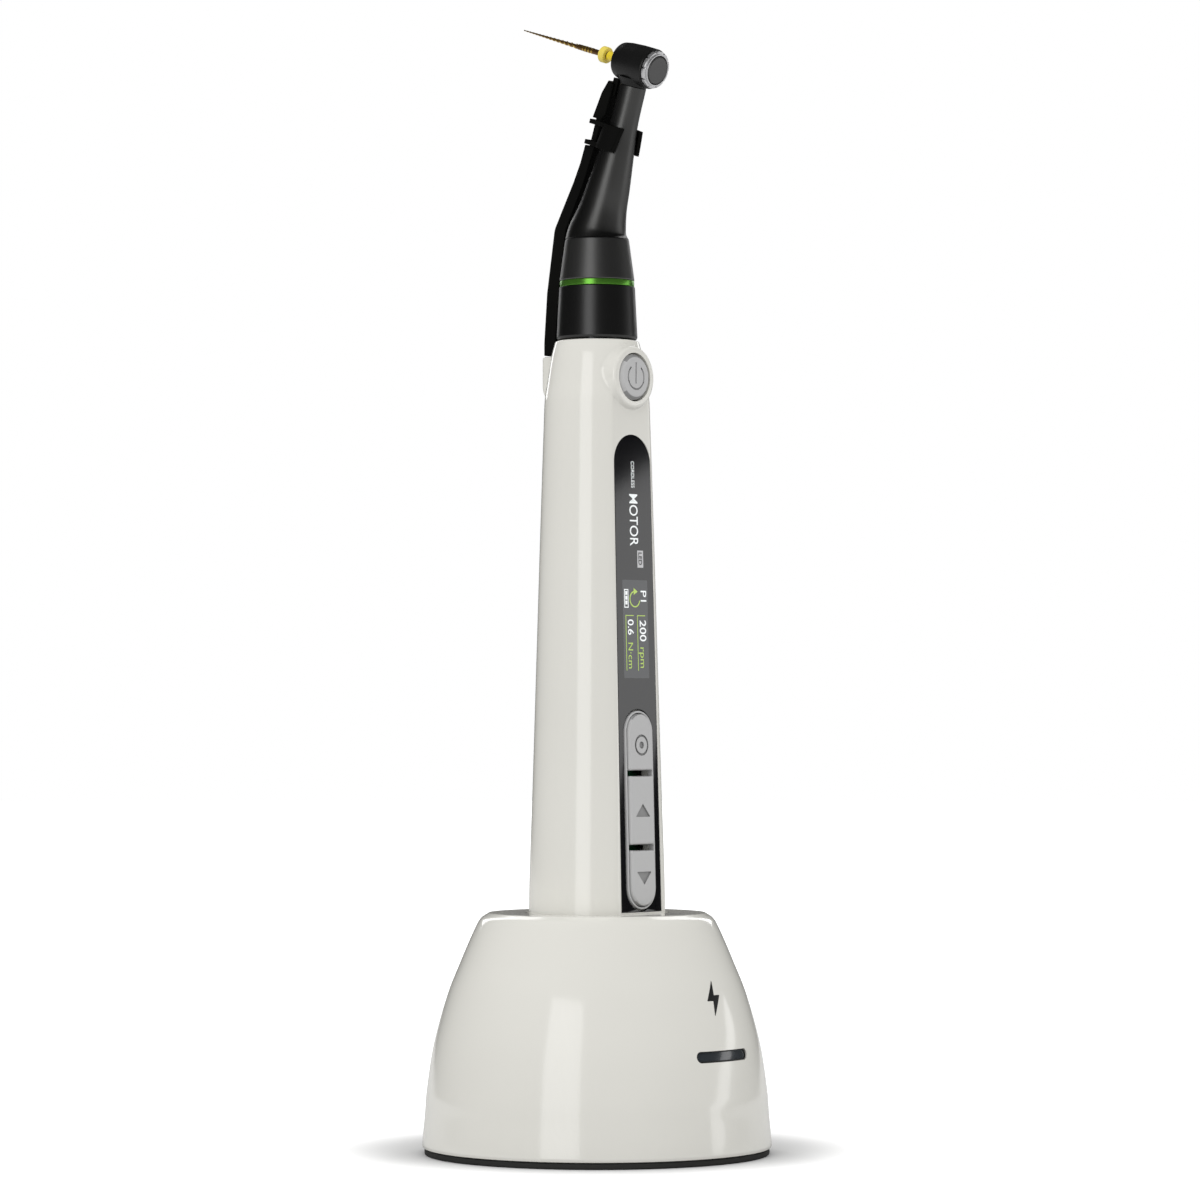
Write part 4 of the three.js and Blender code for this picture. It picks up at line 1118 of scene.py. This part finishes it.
def make_clip():
    for side, sign in (("right", 1), ("left", -1)):
        heights = steps_between(16.8, 21.9, 0.6)
        jaw = loft(f"neck_clip_{side}", [jaw_ring(h, sign) for h in heights], NECK)
        modifier = jaw.modifiers.new("bevel", "BEVEL")
        modifier.width = 0.1 * MM
        modifier.segments = 2
        modifier.angle_limit = math.radians(50)
        apply_modifiers(jaw)
        finish_piece(jaw, "contra_angle", "arm_black", ["neck_clip"] if sign > 0 else ())
    for number, low in ((1, 16.8), (2, 21.0)):
        corners = [(-2.9, 2.4, 0.1), (-2.3, 2.4, 0.1), (-2.3, 6.1, 0.1), (2.3, 6.1, 0.1),
                   (2.3, 2.4, 0.1), (2.9, 2.4, 0.1), (2.9, 6.6, 0.3), (-2.9, 6.6, 0.3)]
        band = sheet_of(f"neck_clip_band_{number}", [softened(corners, True, 4)], 0.9, 0.1)
        move_mesh(band, NECK @ Matrix.Translation((0, 0, low + 0.45)))
        finish_piece(band, "contra_angle", "arm_black")


def make_nose():
    revolve("motor_nose_skin", "handpiece", "bright_steel",
            [(1.7, 147.3), (5.8, 147.3), (5.8, 149.3), (5, 149.3), (5, 164.6, 0.1), (4.45, 164.6),
             (4.45, 166.1), (5, 166.1, 0.1), (5, 168, 0.1), (4.45, 168), (4.45, 169.5),
             (5, 169.5, 0.1), (5, 171.5, 0.5), (1.7, 171.5, 0.3)], ["motor_nose"])
    for number, low in ((1, 164.6), (2, 168)):
        seal = circle((5.2, low + 0.75), 0.42, 24)
        finish_piece(lathe(f"nose_seal_{number}_skin", seal, closed=True), "handpiece",
                     "rubber_dark", [f"nose_seal_{number}"])


make_contra_body()
make_head()
make_light_guide()
make_clip()
make_nose()

# ---------- file ----------

ALONG = HEAD @ ALONG_FILE


def blade_radius(height):
    return 0.6 - 0.48 * max(height - 14.6, 0) / 17.1


def make_blade():
    """The twisted working part: two raised edges wind round it, tighter towards the tip."""
    count, rows = 24, 220
    rings, high = [], []
    for row in range(rows + 1):
        height = 14.6 + 17.0 * row / rows
        share = row / rows
        twist = 2 * math.pi * (5.2 * share + 2.6 * share ** 2)
        ring, marks = [], []
        for i in range(count):
            angle = 2 * math.pi * i / count
            wave = math.cos(2 * (angle - twist))
            lift = max(wave, 0) ** 2
            depth = min(share * 8, 1)
            radius = blade_radius(height) * (1 - 0.30 * depth * (1 - lift))
            ring.append((radius * math.cos(angle), radius * math.sin(angle), height))
            marks.append(lift > 0.22 or depth < 0.3)
        rings.append(ring)
        high.append(marks)
    blade = loft("file_blade", rings, ALONG)
    blade.data.materials.append(FINISHES["file_gold"])
    blade.data.materials.append(FINISHES["file_brown"])
    # faces in the grooves between the raised edges take the brown: painted shade in the flutes
    for face in blade.data.polygons:
        if face.index < count * rows:
            row, column = divmod(face.index, count)
            face.material_index = 0 if high[row][column] else 1
    finish_piece(blade, "file", "file_gold", sharp=60)


def make_file():
    revolve("file_skin", "file", "steel", [(0, -1.2), (1.1, -1.2, 0.1), (1.1, 4.6, 0.1), (0.6, 4.9),
                                         (0.6, 5.4), (0, 5.4)], ["file"], ALONG, False, 48)
    revolve("file_handle", "file", "file_gold", [(0, 4.95), (0.95, 4.95, 0.12), (0.95, 7.95, 0.2),
                                               (0.5, 8.1, 0.05), (0, 8.1)], (), ALONG, False, 48,
            material=FINISHES["handle_yellow"])
    shank = [(0, 8.0), (0.56, 8.0), (0.56, 16.4, 0.2), (0, 16.4)]
    revolve("file_shank", "file", "file_gold", shank, (), ALONG, False, 48,
            material=FINISHES["file_brown"])
    for number, low in ((1, 12.2), (2, 13.05), (3, 13.9)):
        band = [(0.3, low), (0.6, low, 0.04), (0.6, low + 0.42, 0.04), (0.3, low + 0.42)]
        revolve(f"file_band_{number}", "file", "file_gold", band, (), ALONG, True, 48)
    make_blade()
    stop = [(0.8, 8.2, 0.1), (1.5, 8.2, 0.15), (1.65, 8.4, 0.15), (1.65, 9.55, 0.15),
            (1.5, 9.7, 0.15), (0.8, 9.7, 0.1)]
    revolve("file_stop_skin", "file_stop", "stop_yellow", stop, ["file_stop"], ALONG, True, 64)


make_file()

# ---------- pieces that keep their CAD shape ----------

def dress_cad_nodes():
    """Every CAD node gets the procedural finish of its own slot, seen or hidden."""
    for row in frame["record"]["subparts"]:
        node = frame["nodes"][row["node"]]
        look = FINISHES[row["material_slot"]]
        if not node.data.materials:
            node.data.materials.append(look)
        for place in node.material_slots:
            place.material = look


dress_cad_nodes()
